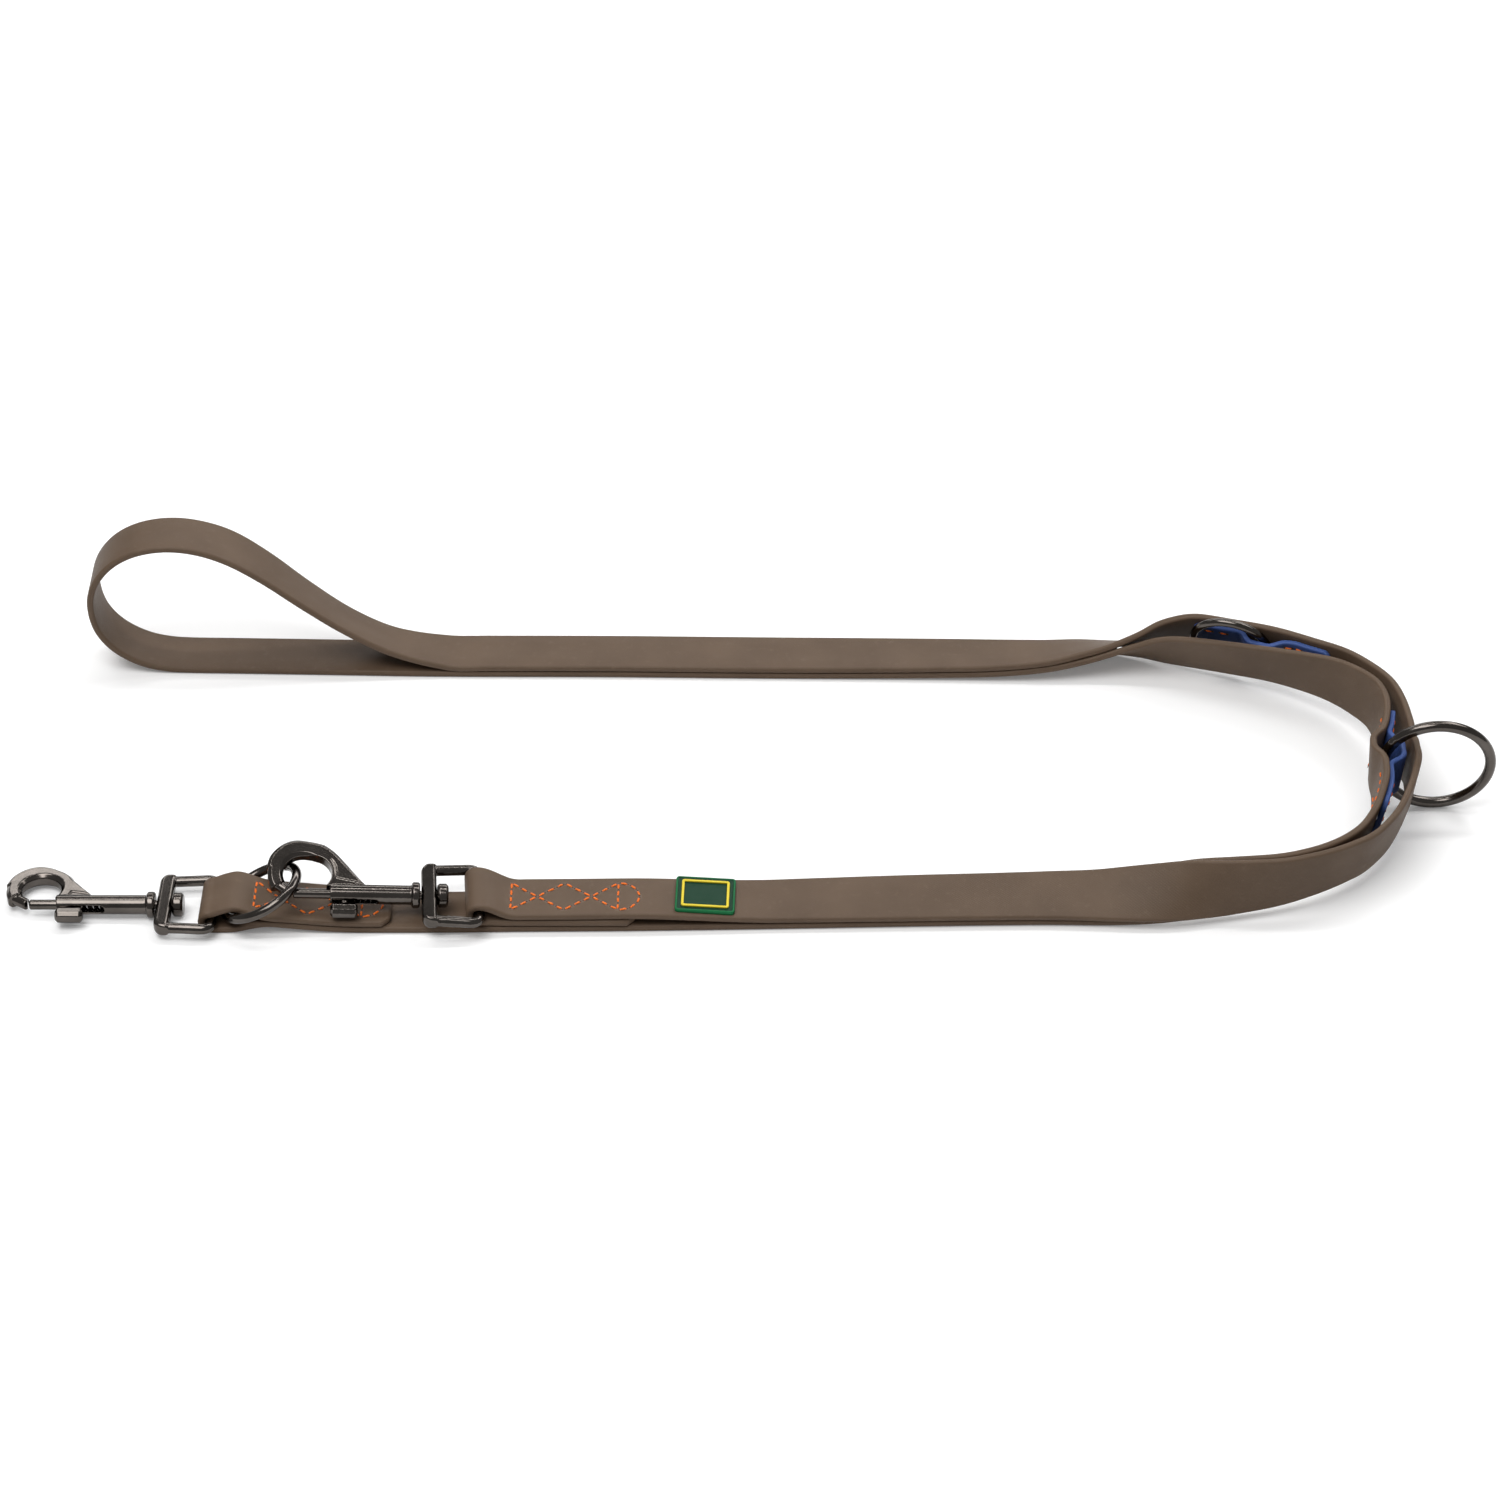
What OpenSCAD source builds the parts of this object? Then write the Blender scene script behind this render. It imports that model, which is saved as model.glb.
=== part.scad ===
// Training leash: one flat coated strap folded in two, with a swivel clip sewn
// into each end, a hand loop where it turns back, and three rings to clip to.
// X runs along the leash, Y across it, Z up from the surface it lies on.
// The origin is the middle of its footprint. All sizes are in millimetres.

/* [Strap] */
// Width of the strap
strap_w = 20; // [18:0.5:21]
// Thickness of the strap
strap_t = 2.4; // [2:0.1:2.6]
// Air between two strap layers that lie on each other
layer_gap = 0.1; // [0.05:0.05:0.2]
// Play of a metal bar in the strap fold that holds it
fold_play = 0.15; // [0.1:0.05:0.3]
// Length of the sewn-back tail at each end
tail_len = 42; // [38:1:46]
// Cut-off corner at the tip of a tail
tail_corner = 3; // [1:0.5:5]

/* [Stitching] */
// Length of one stitch
stitch_len = 2.6; // [2:0.1:3]
// Gap between two stitches
stitch_gap = 1.1; // [0.8:0.1:1.5]
// Thickness of the thread
thread_d = 0.7; // [0.5:0.1:0.9]
// Height of the thread above the strap
thread_rise = 0.3; // [0.2:0.05:0.35]
// Width of the sewn end pattern
seam_w = 14; // [12:0.5:15]
// Length of one diamond or triangle pair of the end pattern
seam_pitch = 18; // [16:0.5:19]

/* [Label] */
// Length of the rubber label along the strap
label_len = 20; // [16:0.5:22]
// Width of the label across the strap
label_w = 17.6; // [14:0.2:18]
// Thickness of the label
label_t = 1.4; // [1:0.1:2]
// Inset of the raised border from the label's edge
border_inset = 2; // [1.5:0.1:3]
// Width of the raised border
border_w = 0.9; // [0.6:0.1:1.2]
// Height of the raised border
border_h = 0.35; // [0.2:0.05:0.6]

/* [Ring tabs] */
// Width of the ring tabs
tab_w = 16; // [14:0.5:18]
// Thickness of the ring tabs
tab_t = 1.9; // [1.7:0.1:2]

/* [Rings] */
// Wire diameter of the large ring
big_wire_d = 3.8; // [3.4:0.1:4]
// Radius of the large ring to the middle of its wire
big_ring_r = 18.4; // [18:0.1:18.8]
// Wire diameter of the two small rings
small_wire_d = 3.3; // [3:0.1:3.4]
// Radius of the small rings to the middle of their wire
small_ring_r = 13.6; // [13.2:0.1:13.8]

/* [Clips] */
// Thickness of the hook
hook_t = 5; // [4.4:0.2:5.6]
// Radius of the hook's eye
eye_r = 6.6; // [6.2:0.1:6.8]
// Diameter of the sliding bolt
bolt_d = 3.4; // [3:0.1:3.6]
// Travel of the bolt from closed to open
bolt_travel = 10; // [9:0.5:10]
// Diameter of the barrel
barrel_d = 6.5; // [6.2:0.1:7]
// Diameter of the collar at the barrel's end
collar_d = 8.8; // [8.4:0.1:9]
// Diameter of the swivel rivet's shank
rivet_d = 3; // [2.6:0.1:3.2]
// Diameter of the swivel rivet's head
rivet_head_d = 8; // [7:0.2:8.4]
// Radial clearance of the bolt and the rivet in their bores
run_clear = 0.05; // [0.02:0.01:0.1]
// Wire diameter of the strap bail
bail_wire_d = 3.7; // [3.4:0.1:3.8]
// Inside width of the strap bail at the strap
bail_in_w = 22.4; // [22.2:0.1:23]
// Length of the bail from crossbar to strap bar, outside
bail_len = 20.8; // [20:0.2:22]
// Width of the bail's crossbar along the clip
crossbar_w = 5.2; // [4.8:0.1:5.6]
// Height of the thumb knob
knob_h = 4.8; // [4:0.2:5]
// Length of the thumb knob
knob_len = 9.2; // [8:0.2:9.4]

/* [Hidden] */
$fn = 48;

strap_colour = [0.42, 0.35, 0.29];
tab_colour = [0.12, 0.22, 0.48];
thread_colour = [0.93, 0.35, 0.1];
metal_colour = [0.3, 0.28, 0.27];

// Middle of the footprint in the coordinates of the layout below
mid = [3.06, -20.7];
// Keeps the twisted faces of the band from dipping under the surface
table_play = 0.04;
function at(x, y, z) = [x - mid[0], y - mid[1], z + table_play];

// ---- Curves and frames ----------------------------------------------------

up = [0, 0, 1];
function unit(v) = v / norm(v);
function lerp(a, b, u) = a + (b - a) * u;
function ease(u) = (1 - cos(180 * u)) / 2;
function row_between(a, b, c, d, u) =
  (b * 2 + (c - a) * u + (a * 2 - b * 5 + c * 4 - d) * u * u
    + (b * 3 - a - c * 3 + d) * u * u * u) / 2;
// Smooth curve through rows of numbers, n steps from each row to the next
function smooth(rows, n) = let (last = len(rows) - 1) concat(
  [for (i = [0:last - 1], k = [0:n - 1])
    row_between(rows[max(i - 1, 0)], rows[i], rows[i + 1], rows[min(i + 2, last)], k / n)],
  [rows[last]]);
function reversed(list) = [for (i = [len(list) - 1:-1:0]) list[i]];

// A station is [point, width direction]. The face direction is at right
// angles to the path and to the width.
function face_dir(path, i) = let (last = len(path) - 1)
  unit(cross(path[min(i + 1, last)][0] - path[max(i - 1, 0)][0], path[i][1]));

// Flat band along a path: w wide and t thick, with its tips cut back by
// corner at the first and last stations
module band(path, w, t, corner = 0) {
  last = len(path) - 1;
  half = [for (i = [0:last]) (i == 0 || i == last) ? w / 2 - corner : w / 2];
  points = [for (i = [0:last])
    let (p = path[i][0], a = path[i][1] * half[i], b = face_dir(path, i) * t / 2)
    each [p - a - b, p + a - b, p + a + b, p - a + b]];
  sides = [for (i = [0:last - 1], k = [0:3])
    let (a = 4 * i + k, b = 4 * i + (k + 1) % 4)
    each [[a, b, b + 4], [a, b + 4, a + 4]]];
  n = 4 * last;
  polyhedron(points, concat(sides, [[3, 2, 1], [3, 1, 0]], [[n, n + 1, n + 2], [n, n + 2, n + 3]]));
}

// ---- The strap's route ----------------------------------------------------
// The strap lies folded in two. The lower layer runs from the front clip to
// the hand loop, the upper layer from there back to the rear clip.
// Rows: x, y, lift off the surface, roll from flat, extra gap between layers.

tail_step = strap_t + layer_gap;
layer_steps = 4;
layer_rows = [
  [-96, 53.2, 0, 0, 0], [-50, 53, 0, 0, 0], [0, 52.2, 0, 0, 0], [40, 51.6, 0, 1, 0],
  [70, 51, 0, 3, 0], [90, 50.4, 0, 6, 0], [106, 50, 0, 12, 0], [119, 50.2, 0, 21, 0.2],
  [130, 50, 0, 32, 0.2], [140, 48.4, 0.5, 45, 1.6], [148, 46, 1.2, 57, 4.8],
  [157, 42.2, 2.6, 63, 7.3], [170, 36.8, 4, 66, 7], [184, 30.4, 5.6, 69, 6.4],
  [197.5, 22.8, 7, 77, 4.7], [206.5, 16.3, 8, 86, 4], [213, 9, 8.8, 92, 3.2],
  [217.8, 0.8, 9.4, 95, 2.8], [219.4, -9, 9.8, 96, 3.4], [218, -20, 10, 96, 6],
  [215.6, -28, 10, 95, 8.8], [215, -34.5, 10, 95, 9.4], [214.9, -41, 10, 96, 9.2],
  [214, -51, 9.6, 99, 6.6], [210.6, -62, 9, 101, 5.2], [207.4, -69, 8.4, 102, 4],
  [203.2, -75.4, 7.6, 103, 2.7], [198.4, -80, 6.8, 102, 1.3], [192.5, -83.8, 6, 100, 0.5],
  [185.5, -86.6, 5, 97, 0.1], [176.5, -89, 4, 92, 0], [163.5, -90.4, 2.6, 81, 0],
  [153, -90.8, 1.6, 68, 0], [138, -90.4, 0.6, 42, 0], [118, -88.8, 0, 20, 0],
  [100, -88.1, 0, 13, 0], [80, -88.2, 0, 10, 0], [50, -88.8, 0, 8, 0],
  [20, -89.5, 0, 5, 0.1], [3, -89.9, 0, 3, 0.3], [-16, -90.3, 0, 1, 1.4],
  [-36, -90.7, 0, 0, tail_step], [-58, -91, 0, 0, tail_step], [-78, -91.2, 0, 0, tail_step]];
layers = smooth(layer_rows, layer_steps);

function side_dir(i) = let (last = len(layers) - 1,
    d = layers[min(i + 1, last)] - layers[max(i - 1, 0)])
  unit([-d[1], d[0], 0]);
function roll_at(i) = layers[i][3];
function across(i) = up * sin(roll_at(i)) - side_dir(i) * cos(roll_at(i));
function outward(i) = side_dir(i) * sin(roll_at(i)) + up * cos(roll_at(i));
function point_at(i, roll) = at(layers[i][0], layers[i][1],
  max(layers[i][2], 0) + strap_w / 2 * sin(roll) + strap_t / 2 * abs(cos(roll)));
function base_point(i) = point_at(i, roll_at(i));
function gap_at(i) = layer_gap + max(layers[i][4], 0);
function upper_point(i) = base_point(i) + outward(i) * (strap_t + gap_at(i));

// The large ring's wire presses the lower layer in and turns its top edge in
ring_y = -34.3;
ring_dip = 1.6;
ring_twist = 8;
ring_dip_flat = 1.5;
ring_dip_ramp = 7.5;
bend_from_x = 200;
function dip_at(i) = layers[i][0] < bend_from_x ? 0
  : ease(min(max((ring_dip_flat + ring_dip_ramp - abs(layers[i][1] - ring_y)) / ring_dip_ramp, 0), 1));
function lower_roll(i) = roll_at(i) - ring_twist * dip_at(i);
function lower_point(i) = point_at(i, lower_roll(i)) - side_dir(i) * ring_dip * dip_at(i);
function lower_across(i) = up * sin(lower_roll(i)) - side_dir(i) * cos(lower_roll(i));
base_layer = [for (i = [0:len(layers) - 1]) [base_point(i), across(i)]];
lower_layer = [for (i = [0:len(layers) - 1]) [lower_point(i), lower_across(i)]];
upper_layer = [for (i = [0:len(layers) - 1]) [upper_point(i), across(i)]];

// Hand loop, from the upper layer over and round to the lower: x, y, z and
// the angle by which its near edge is raised
flat_z = strap_t / 2;
loop_rows = [
  [-108, 53.3, flat_z + tail_step, 0], [-120, 53.6, flat_z + tail_step + 2.2, 5],
  [-132, 54, 9.8, 9], [-146, 54.6, 17.8, 10], [-160, 55.1, 28.6, 7], [-172, 55.5, 38.8, 3],
  [-184, 55.9, 47.2, 0], [-195, 56.1, 51.7, 0], [-206, 56.2, 53.2, 0], [-216.5, 56.2, 51.6, 0],
  [-225, 56.1, 47.4, 0], [-231.2, 56, 41, 0], [-234.6, 56, 33.6, 0], [-235.2, 56, 26, 0],
  [-233.6, 56, 18.2, 0], [-229.8, 56, 11.8, 0], [-224.4, 55.9, 7, 0], [-217.6, 55.8, 3.5, 0],
  [-210, 55.7, 1.7, 0], [-202, 55.6, flat_z, 0], [-190, 55.3, flat_z, 0],
  [-162, 54.6, flat_z, 0], [-126, 53.6, flat_z, 0]];
loop_layer = [for (p = smooth(loop_rows, 3))
  [at(p[0], p[1], p[2]), [0, -cos(p[3]), sin(p[3])]]];

// ---- The folds at the two strap ends --------------------------------------

bar_play_r = bail_wire_d / 2 + fold_play;
fold_r = bar_play_r + strap_t / 2;

// Front end: round the front bail's bar and the end ring, then back on top
front_eye = [-179.2, strap_t + bar_play_r];
front_y = -91.7;
front_rise = [[-100, 0], [-120, 0], [-131, 0], [-140, 0.4], [-150, 1.4], [-160, 2.4]];
front_belly = [[-165, 1.8], [-169, 0.8], [-172, 0.2], [-176, 0]];
front_hump = [[-176, 5.2], [-172, 6.3], [-168.8, 5.6], [-165, 3.9]];
front_lower = smooth([for (r = concat(front_rise, front_belly)) [r[0], flat_z + r[1]]], 2);
front_turn = [for (a = [270:-22.5:90]) front_eye + fold_r * [cos(a), sin(a)]];
front_upper = smooth(concat(
  [for (r = front_hump) [r[0], flat_z + tail_step + r[1]]],
  [for (k = [len(front_rise) - 1:-1:1]) [front_rise[k][0], flat_z + tail_step + front_rise[k][1]]]), 2);
front_tip_x = front_eye[0] + 17.6 + tail_len;
front_tail = [for (p = front_upper) if (p[0] < front_tip_x - tail_corner - 1) p];
front_tips = [for (c = [tail_corner, 0]) [front_tip_x - c, flat_z + tail_step]];
front_fold = [for (p = concat(front_lower, front_turn, front_tail, front_tips))
  [at(p[0], front_y, p[1]), [0, 1, 0]]];

// Rear end: back under the upper layer, round the rear bail's bar
rear_yaw = 4.5;
rear_tilt = 4;
rear_drop = strap_w / 2 * sin(rear_tilt);
rear_eye = [-90.7, strap_t + layer_gap + rear_drop + strap_t + bar_play_r];
rear_y = -91.2;
rear_end_x = -78;
rear_steps = 5;
function rear_height(u, side) =
  lerp(rear_eye[1] + side * fold_r, flat_z + tail_step + (side + 1) / 2 * tail_step, ease(u));
function rear_branch(side) = [for (k = [0:rear_steps]) let (u = k / rear_steps)
  [lerp(rear_eye[0], rear_end_x, u), rear_height(u, side)]];
rear_turn = [for (a = [247.5:-22.5:112.5]) rear_eye + fold_r * [cos(a), sin(a)]];
function rear_turned(x) = 1 - ease(min(max((x - rear_eye[0]) / (rear_end_x - rear_eye[0]), 0), 1));
function rear_bar(u) = unit([-sin(rear_yaw * u), cos(rear_yaw * u), sin(rear_tilt * u)]);
rear_tip_x = rear_end_x + tail_len - 2;
rear_tail = [for (x = [rear_tip_x, rear_tip_x - tail_corner, rear_tip_x - tail_len / 2])
  [x, flat_z + tail_step]];
rear_fold = [for (p = concat(rear_tail, reversed(rear_branch(-1)), rear_turn,
    [for (k = [0:rear_steps - 1]) rear_branch(1)[k]]))
  [at(p[0], rear_y, p[1]), rear_bar(rear_turned(p[0]))]];

strap_path = concat(rear_fold, reversed(upper_layer), loop_layer, lower_layer, front_fold);

module strap() {
  color(strap_colour) band(strap_path, strap_w, strap_t, tail_corner);
}

// ---- Stitching -------------------------------------------------------------

stitch_sunk = 0.1;
stitch_step = stitch_len + stitch_gap;

// One stitch lying along the direction ahead, on a face that looks along out
module stitch(p, ahead, out) {
  side = cross(out, ahead);
  frame = [for (r = [0:2]) [ahead[r], side[r], out[r], p[r]]];
  multmatrix(frame) translate([-stitch_len / 2, -thread_d / 2, -stitch_sunk])
    cube([stitch_len, thread_d, stitch_sunk + thread_rise]);
}

// Sewn pattern of a strap end from its bar at x on: two crossings, a diamond
// between them, a second bar and a half circle. Points: distance, offset.
seam_mid = seam_pitch / 2;
seam_r = seam_w / 2;
seam_bar_2 = seam_pitch * 2;
seam_lines = [
  [[0, -seam_r], [0, seam_r]],
  [[0, seam_r], [seam_mid, 0]], [[0, -seam_r], [seam_mid, 0]],
  [[seam_mid, 0], [seam_pitch, seam_r]], [[seam_mid, 0], [seam_pitch, -seam_r]],
  [[seam_pitch, seam_r], [seam_pitch + seam_mid, 0]],
  [[seam_pitch, -seam_r], [seam_pitch + seam_mid, 0]],
  [[seam_pitch + seam_mid, 0], [seam_bar_2, seam_r]],
  [[seam_pitch + seam_mid, 0], [seam_bar_2, -seam_r]],
  [[seam_bar_2, -seam_r], [seam_bar_2, seam_r]]];
seam_arc_steps = 6;

function line_stitches(a, b) = let (n = max(round(norm(b - a) / stitch_step), 1))
  [for (k = [0:n - 1]) [lerp(a, b, (k + 0.5) / n), unit(b - a)]];
seam_arc = [for (k = [0:seam_arc_steps - 1]) let (a = 90 - 180 * (k + 0.5) / seam_arc_steps)
  [[seam_bar_2 + seam_r * cos(a), seam_r * sin(a)], [sin(a), -cos(a)]]];
seam_stitches = concat([for (l = seam_lines) each line_stitches(l[0], l[1])], seam_arc);

// The pattern laid on a strap top whose middle height is given by heights
module end_seam(x0, y0, heights) {
  for (s = seam_stitches) {
    x = x0 + s[0][0];
    slope = (lookup(x + 1, heights) - lookup(x - 1, heights)) / 2;
    ahead = unit([s[1][0], s[1][1], s[1][0] * slope]);
    out = unit(cross([1, 0, slope], [0, 1, 0]));
    stitch(at(x, y0 + s[0][1], lookup(x, heights)) + out * strap_t / 2, ahead, out);
  }
}

front_seam_x = -165.5;
module end_seam_front() {
  color(thread_colour) end_seam(front_seam_x, front_y, front_upper);
}

rear_seam_x = -80;
label_x = -15;
function upper_height(i) = [upper_point(i)[0] + mid[0], upper_point(i)[2]];
rear_heights = concat(rear_branch(1),
  [for (i = [len(layers) - 1:-1:len(layers) - 20]) upper_height(i)]);
module end_seam_rear() {
  color(thread_colour) end_seam(rear_seam_x, rear_y, rear_heights);
}

// ---- Label ----------------------------------------------------------------

label_y = -90;
label_turn = 1.5;
label_sunk = 0.05;
label_corner = 1.2;
label_slope = atan((lookup(label_x - 8, rear_heights) - lookup(label_x + 8, rear_heights)) / 16);

module label_place() {
  translate(at(label_x, label_y, lookup(label_x, rear_heights))) rotate([1, label_slope, -label_turn])
    translate([0, 0, strap_t / 2 - label_sunk]) children();
}

module rounded_plate(l, w, h, r) {
  linear_extrude(height = h) {
    square([l - 2 * r, w], center = true);
    square([l, w - 2 * r], center = true);
    for (x = [-1, 1], y = [-1, 1]) translate([x * (l / 2 - r), y * (w / 2 - r)]) circle(r);
  }
}

module label_patch() {
  color([0.03, 0.3, 0.18]) label_place()
    rounded_plate(label_len, label_w, label_t + label_sunk, label_corner);
}

module label_border() {
  in_l = label_len - 2 * border_inset;
  in_w = label_w - 2 * border_inset;
  color([0.93, 0.85, 0.15]) label_place() translate([0, 0, label_t + label_sunk])
    difference() {
      rounded_plate(in_l, in_w, border_h, border_w);
      translate([0, 0, -1]) linear_extrude(height = border_h + 2)
        square([in_l - 2 * border_w, in_w - 2 * border_w], center = true);
    }
}

// ---- Ring tabs --------------------------------------------------------------
// Each tab is a short strap sewn along a layer, with a loose hump over the
// ring's wire. A tab runs over whole stations of the two layers.

function hump(d, flat, ramp, h) = h * ease(min(max((flat + ramp - abs(d)) / ramp, 0), 1));
function layer_frame(path, f) = let (i = floor(f), u = f - i)
  [lerp(path[i][0], path[i + 1][0], u), unit(lerp(path[i][1], path[i + 1][1], u)),
    unit(path[i + 1][0] - path[i][0])];

// Stations [point, width direction] of a tab on the side (+1 out, -1 in) of a layer
function tab_stations(path, first, last, side, hump_at, flat, ramp, h) =
  [for (i = [first:last]) let (
      d = (path[i][0] - hump_at) * unit(path[i + 1][0] - path[i - 1][0]),
      off = strap_t / 2 + tab_t / 2 + sewn_gap + hump(d, flat, ramp, h))
    [path[i][0] + outward(i) * side * off, path[i][1]]];

sewn_gap = 0.08;
outer_tab_first = 73;
outer_tab_last = 97;
outer_hump_flat = 3;
outer_hump_ramp = 7;
outer_hump_spare = 1;
inner_ring_row = 12;
inner_ring_i = layer_steps * inner_ring_row;
inner_tab_first = inner_ring_i - layer_steps;
inner_tab_last = inner_ring_i + 10;
inner_hump_flat = 3.2;
inner_hump_ramp = 6.5;

// Large ring: its wire stands in the outer tab's hump, the upper layer runs
// through the ring
ring_play = 0.15;
big_yaw = -2;
big_lean = 8;
ring_strap_x = 215;
big_rest_z = big_ring_r * cos(big_lean) + big_wire_d / 2;
big_channel = at(ring_strap_x - ring_dip + strap_t / 2 + ring_play + big_wire_d / 2, ring_y, big_rest_z);
big_centre = big_channel + big_ring_r * [cos(big_yaw), sin(big_yaw), 0];
big_sag = big_ring_r - sqrt(pow(big_ring_r, 2) - pow(tab_w / 2, 2));
outer_hump_h = big_wire_d + big_sag + 2 * ring_play - ring_dip + outer_hump_spare;

outer_tab_path = tab_stations(base_layer, outer_tab_first, outer_tab_last, 1, big_channel,
  outer_hump_flat, outer_hump_ramp, outer_hump_h);

module outer_ring_tab() {
  color(tab_colour) band(outer_tab_path, tab_w, tab_t, tab_t);
}

// Inner ring: flat between the two layers, its wire in the inner tab's hump
inner_wire_d = small_wire_d - 0.4;
inner_ring_off = 5.2;
inner_ring_lift = 1.2;
inner_swing = 5.6;
inner_lean = -1.3;
inner_normal = outward(inner_ring_i);
inner_ahead = side_dir(inner_ring_i);
inner_centre = lower_point(inner_ring_i) + inner_normal * (strap_t / 2 + inner_ring_off)
  + across(inner_ring_i) * inner_ring_lift;
inner_along = unit(cross(inner_normal, across(inner_ring_i)));
inner_channel = inner_centre + inner_along * small_ring_r;
inner_hump_h = inner_wire_d + 2 * ring_play + 0.7;

inner_sag = small_ring_r - sqrt(pow(small_ring_r, 2) - pow(tab_w / 2, 2));
inner_tab_path = tab_stations(upper_layer, inner_tab_first, inner_tab_last, -1,
  inner_channel - inner_along * inner_sag / 2,
  inner_hump_flat, inner_hump_ramp, inner_hump_h);

module inner_ring_tab() {
  color(tab_colour) band(inner_tab_path, tab_w, tab_t, tab_t);
}

// Rows of stitches along a tab, on both faces of what they hold together:
// rows of [first, last] tab stations, at the given offsets across
tab_seam_rows = [-5.5, 5.5];
module tab_seam(path, first, tab_path, spans, side) {
  for (span = spans, offset = tab_seam_rows) {
    run = norm(tab_path[span[1]][0] - tab_path[span[0]][0]);
    n = floor(run / stitch_step);
    for (k = [0:n - 1]) {
      f = lerp(span[0], span[1], (k + 0.5) / n);
      near = layer_frame(tab_path, f);
      far = layer_frame(path, first + f);
      out_near = side * unit(cross(near[1], near[2])) * sign(dot_out(first + f, near));
      out_far = side * unit(cross(far[1], far[2])) * sign(dot_out(first + f, far));
      stitch(near[0] + near[1] * offset + out_near * tab_t / 2, near[2], out_near);
      stitch(far[0] + far[1] * offset - out_far * strap_t / 2, far[2], -out_far);
    }
  }
}
function dot_out(f, frame) = outward(floor(f)) * cross(frame[1], frame[2]);

outer_seam_spans = [[1, 8], [17, 23]];
module outer_tab_seam() {
  color(thread_colour) tab_seam(lower_layer, outer_tab_first, outer_tab_path, outer_seam_spans, 1);
}

inner_seam_spans = [[1, 3.6], [8.8, 12.6]];
module inner_tab_seam() {
  color(thread_colour) tab_seam(upper_layer, inner_tab_first, inner_tab_path, inner_seam_spans, -1);
}

// ---- Rings ----------------------------------------------------------------

module wire_ring(r, wire) {
  rotate_extrude($fn = 64) translate([r, 0]) circle(wire / 2);
}

module outer_ring() {
  color(metal_colour) translate(big_centre) rotate([0, 0, big_yaw]) rotate([90 + big_lean, 0, 0])
    wire_ring(big_ring_r, big_wire_d);
}

module inner_ring() {
  frame = [for (r = [0:2])
    [across(inner_ring_i)[r], inner_along[r], inner_normal[r], inner_channel[r]]];
  color(metal_colour) multmatrix(frame) rotate([inner_swing, 0, 0]) rotate([0, inner_lean, 0])
    translate([0, -small_ring_r, 0]) wire_ring(small_ring_r, inner_wire_d);
}

end_ring_at = [-163, -92.4, 10.3];
end_ring_turn = [-5.5, -26, 0];
module end_ring() {
  color(metal_colour) translate(at(end_ring_at[0], end_ring_at[1], end_ring_at[2]))
    rotate(end_ring_turn) wire_ring(small_ring_r, small_wire_d);
}

// ---- Swivel clip ----------------------------------------------------------
// Built round the middle of the bail's strap bar: the hook points to -X, its
// eye lies to +Y and the thumb knob to -Y.

arm_y = bail_in_w / 2 + bail_wire_d / 2;
arm_taper = 1;
crossbar_x = -(bail_len - bail_wire_d / 2 - crossbar_w / 2);
crossbar_h = 4.8;
crossbar_round = 1.6;
neck_gap = 0.5;
collar_x = crossbar_x - crossbar_w / 2 - neck_gap;
collar_len = 2.75;
rivet_head_h = 3.7;
barrel_front = -52.2;
barrel_back = collar_x - collar_len;
chamber_back = barrel_back - 2;
bolt_front = -61.5;
bolt_len = 18;
bolt_back = bolt_front + bolt_len;
tip_gap = 0.7;
tip_x = bolt_front - tip_gap;
stem_x = -47.6;
stem_d = 2.6;
slot_w = stem_d + 0.3;
eye_at = [-58.3, 6.6];
eye_rim = 5.1;
rim_chamfer = 1.2;
rim_from = -40;
rim_to = 208;
tip_r = 1.9;
knob_reach = 8.4;
knob_depth = 4.6;
knob_facet = 1.3;
knob_chamfer = 0.9;
// The rear clip's eye is longer by this much, its barrel shorter
rear_stretch = 3;

// Cylinder along X from x0 to x1, with chamfered ends
module rod(x0, x1, r, chamfer = 0) {
  translate([x0, 0, 0]) rotate([0, 90, 0]) rotate_extrude()
    polygon([[0, 0], [r - chamfer, 0], [r, chamfer], [r, x1 - x0 - chamfer],
      [r - chamfer, x1 - x0], [0, x1 - x0]]);
}

// Cylinder between two points
module bar(a, b, r) {
  d = b - a;
  translate(a) rotate([0, acos(d[2] / norm(d)), atan2(d[1], d[0])]) cylinder(r = r, h = norm(d));
}

module clip_bail() {
  r = bail_wire_d / 2;
  far = arm_y - arm_taper;
  difference() {
    union() {
      bar([0, -arm_y, 0], [0, arm_y, 0], r);
      for (side = [-1, 1]) {
        bar([0, side * arm_y, 0], [crossbar_x, side * far, 0], r);
        for (p = [[0, arm_y], [crossbar_x, far]])
          translate([p[0], side * p[1], 0]) sphere(r);
      }
      translate([crossbar_x, far, 0]) rotate([90, 0, 0])
        rounded_plate(crossbar_w, crossbar_h, 2 * far, crossbar_round);
    }
    rod(crossbar_x - crossbar_w, crossbar_x + crossbar_w, rivet_d / 2 + run_clear);
  }
}

module clip_rivet() {
  head_x = crossbar_x + crossbar_w / 2 + run_clear;
  rod(chamber_back, head_x + 1, rivet_d / 2);
  rod(head_x, head_x + rivet_head_h, rivet_head_d / 2, 0.7);
}

// Flat outline of the web between the eye and the barrel
web_back = 17.7;
web_line = [[2.3, 10.8], [5.2, 9], [9.1, 4.9], [11.9, 1.2], [14.7, -2.1], [web_back, -4.4]];
module web_outline(stretch) {
  start = barrel_front + stretch - 0.4;
  polygon(concat(
    [[eye_at[0], eye_at[1] + eye_r + eye_rim - 0.1]],
    [for (p = web_line) eye_at + p + [min(p[0] / 4, 1) * stretch, 0]],
    [[eye_at[0] + web_back + stretch, 0], [start, 0], [start, eye_at[1]],
      [eye_at[0], eye_at[1] + eye_r + 0.2]]));
}

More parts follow.
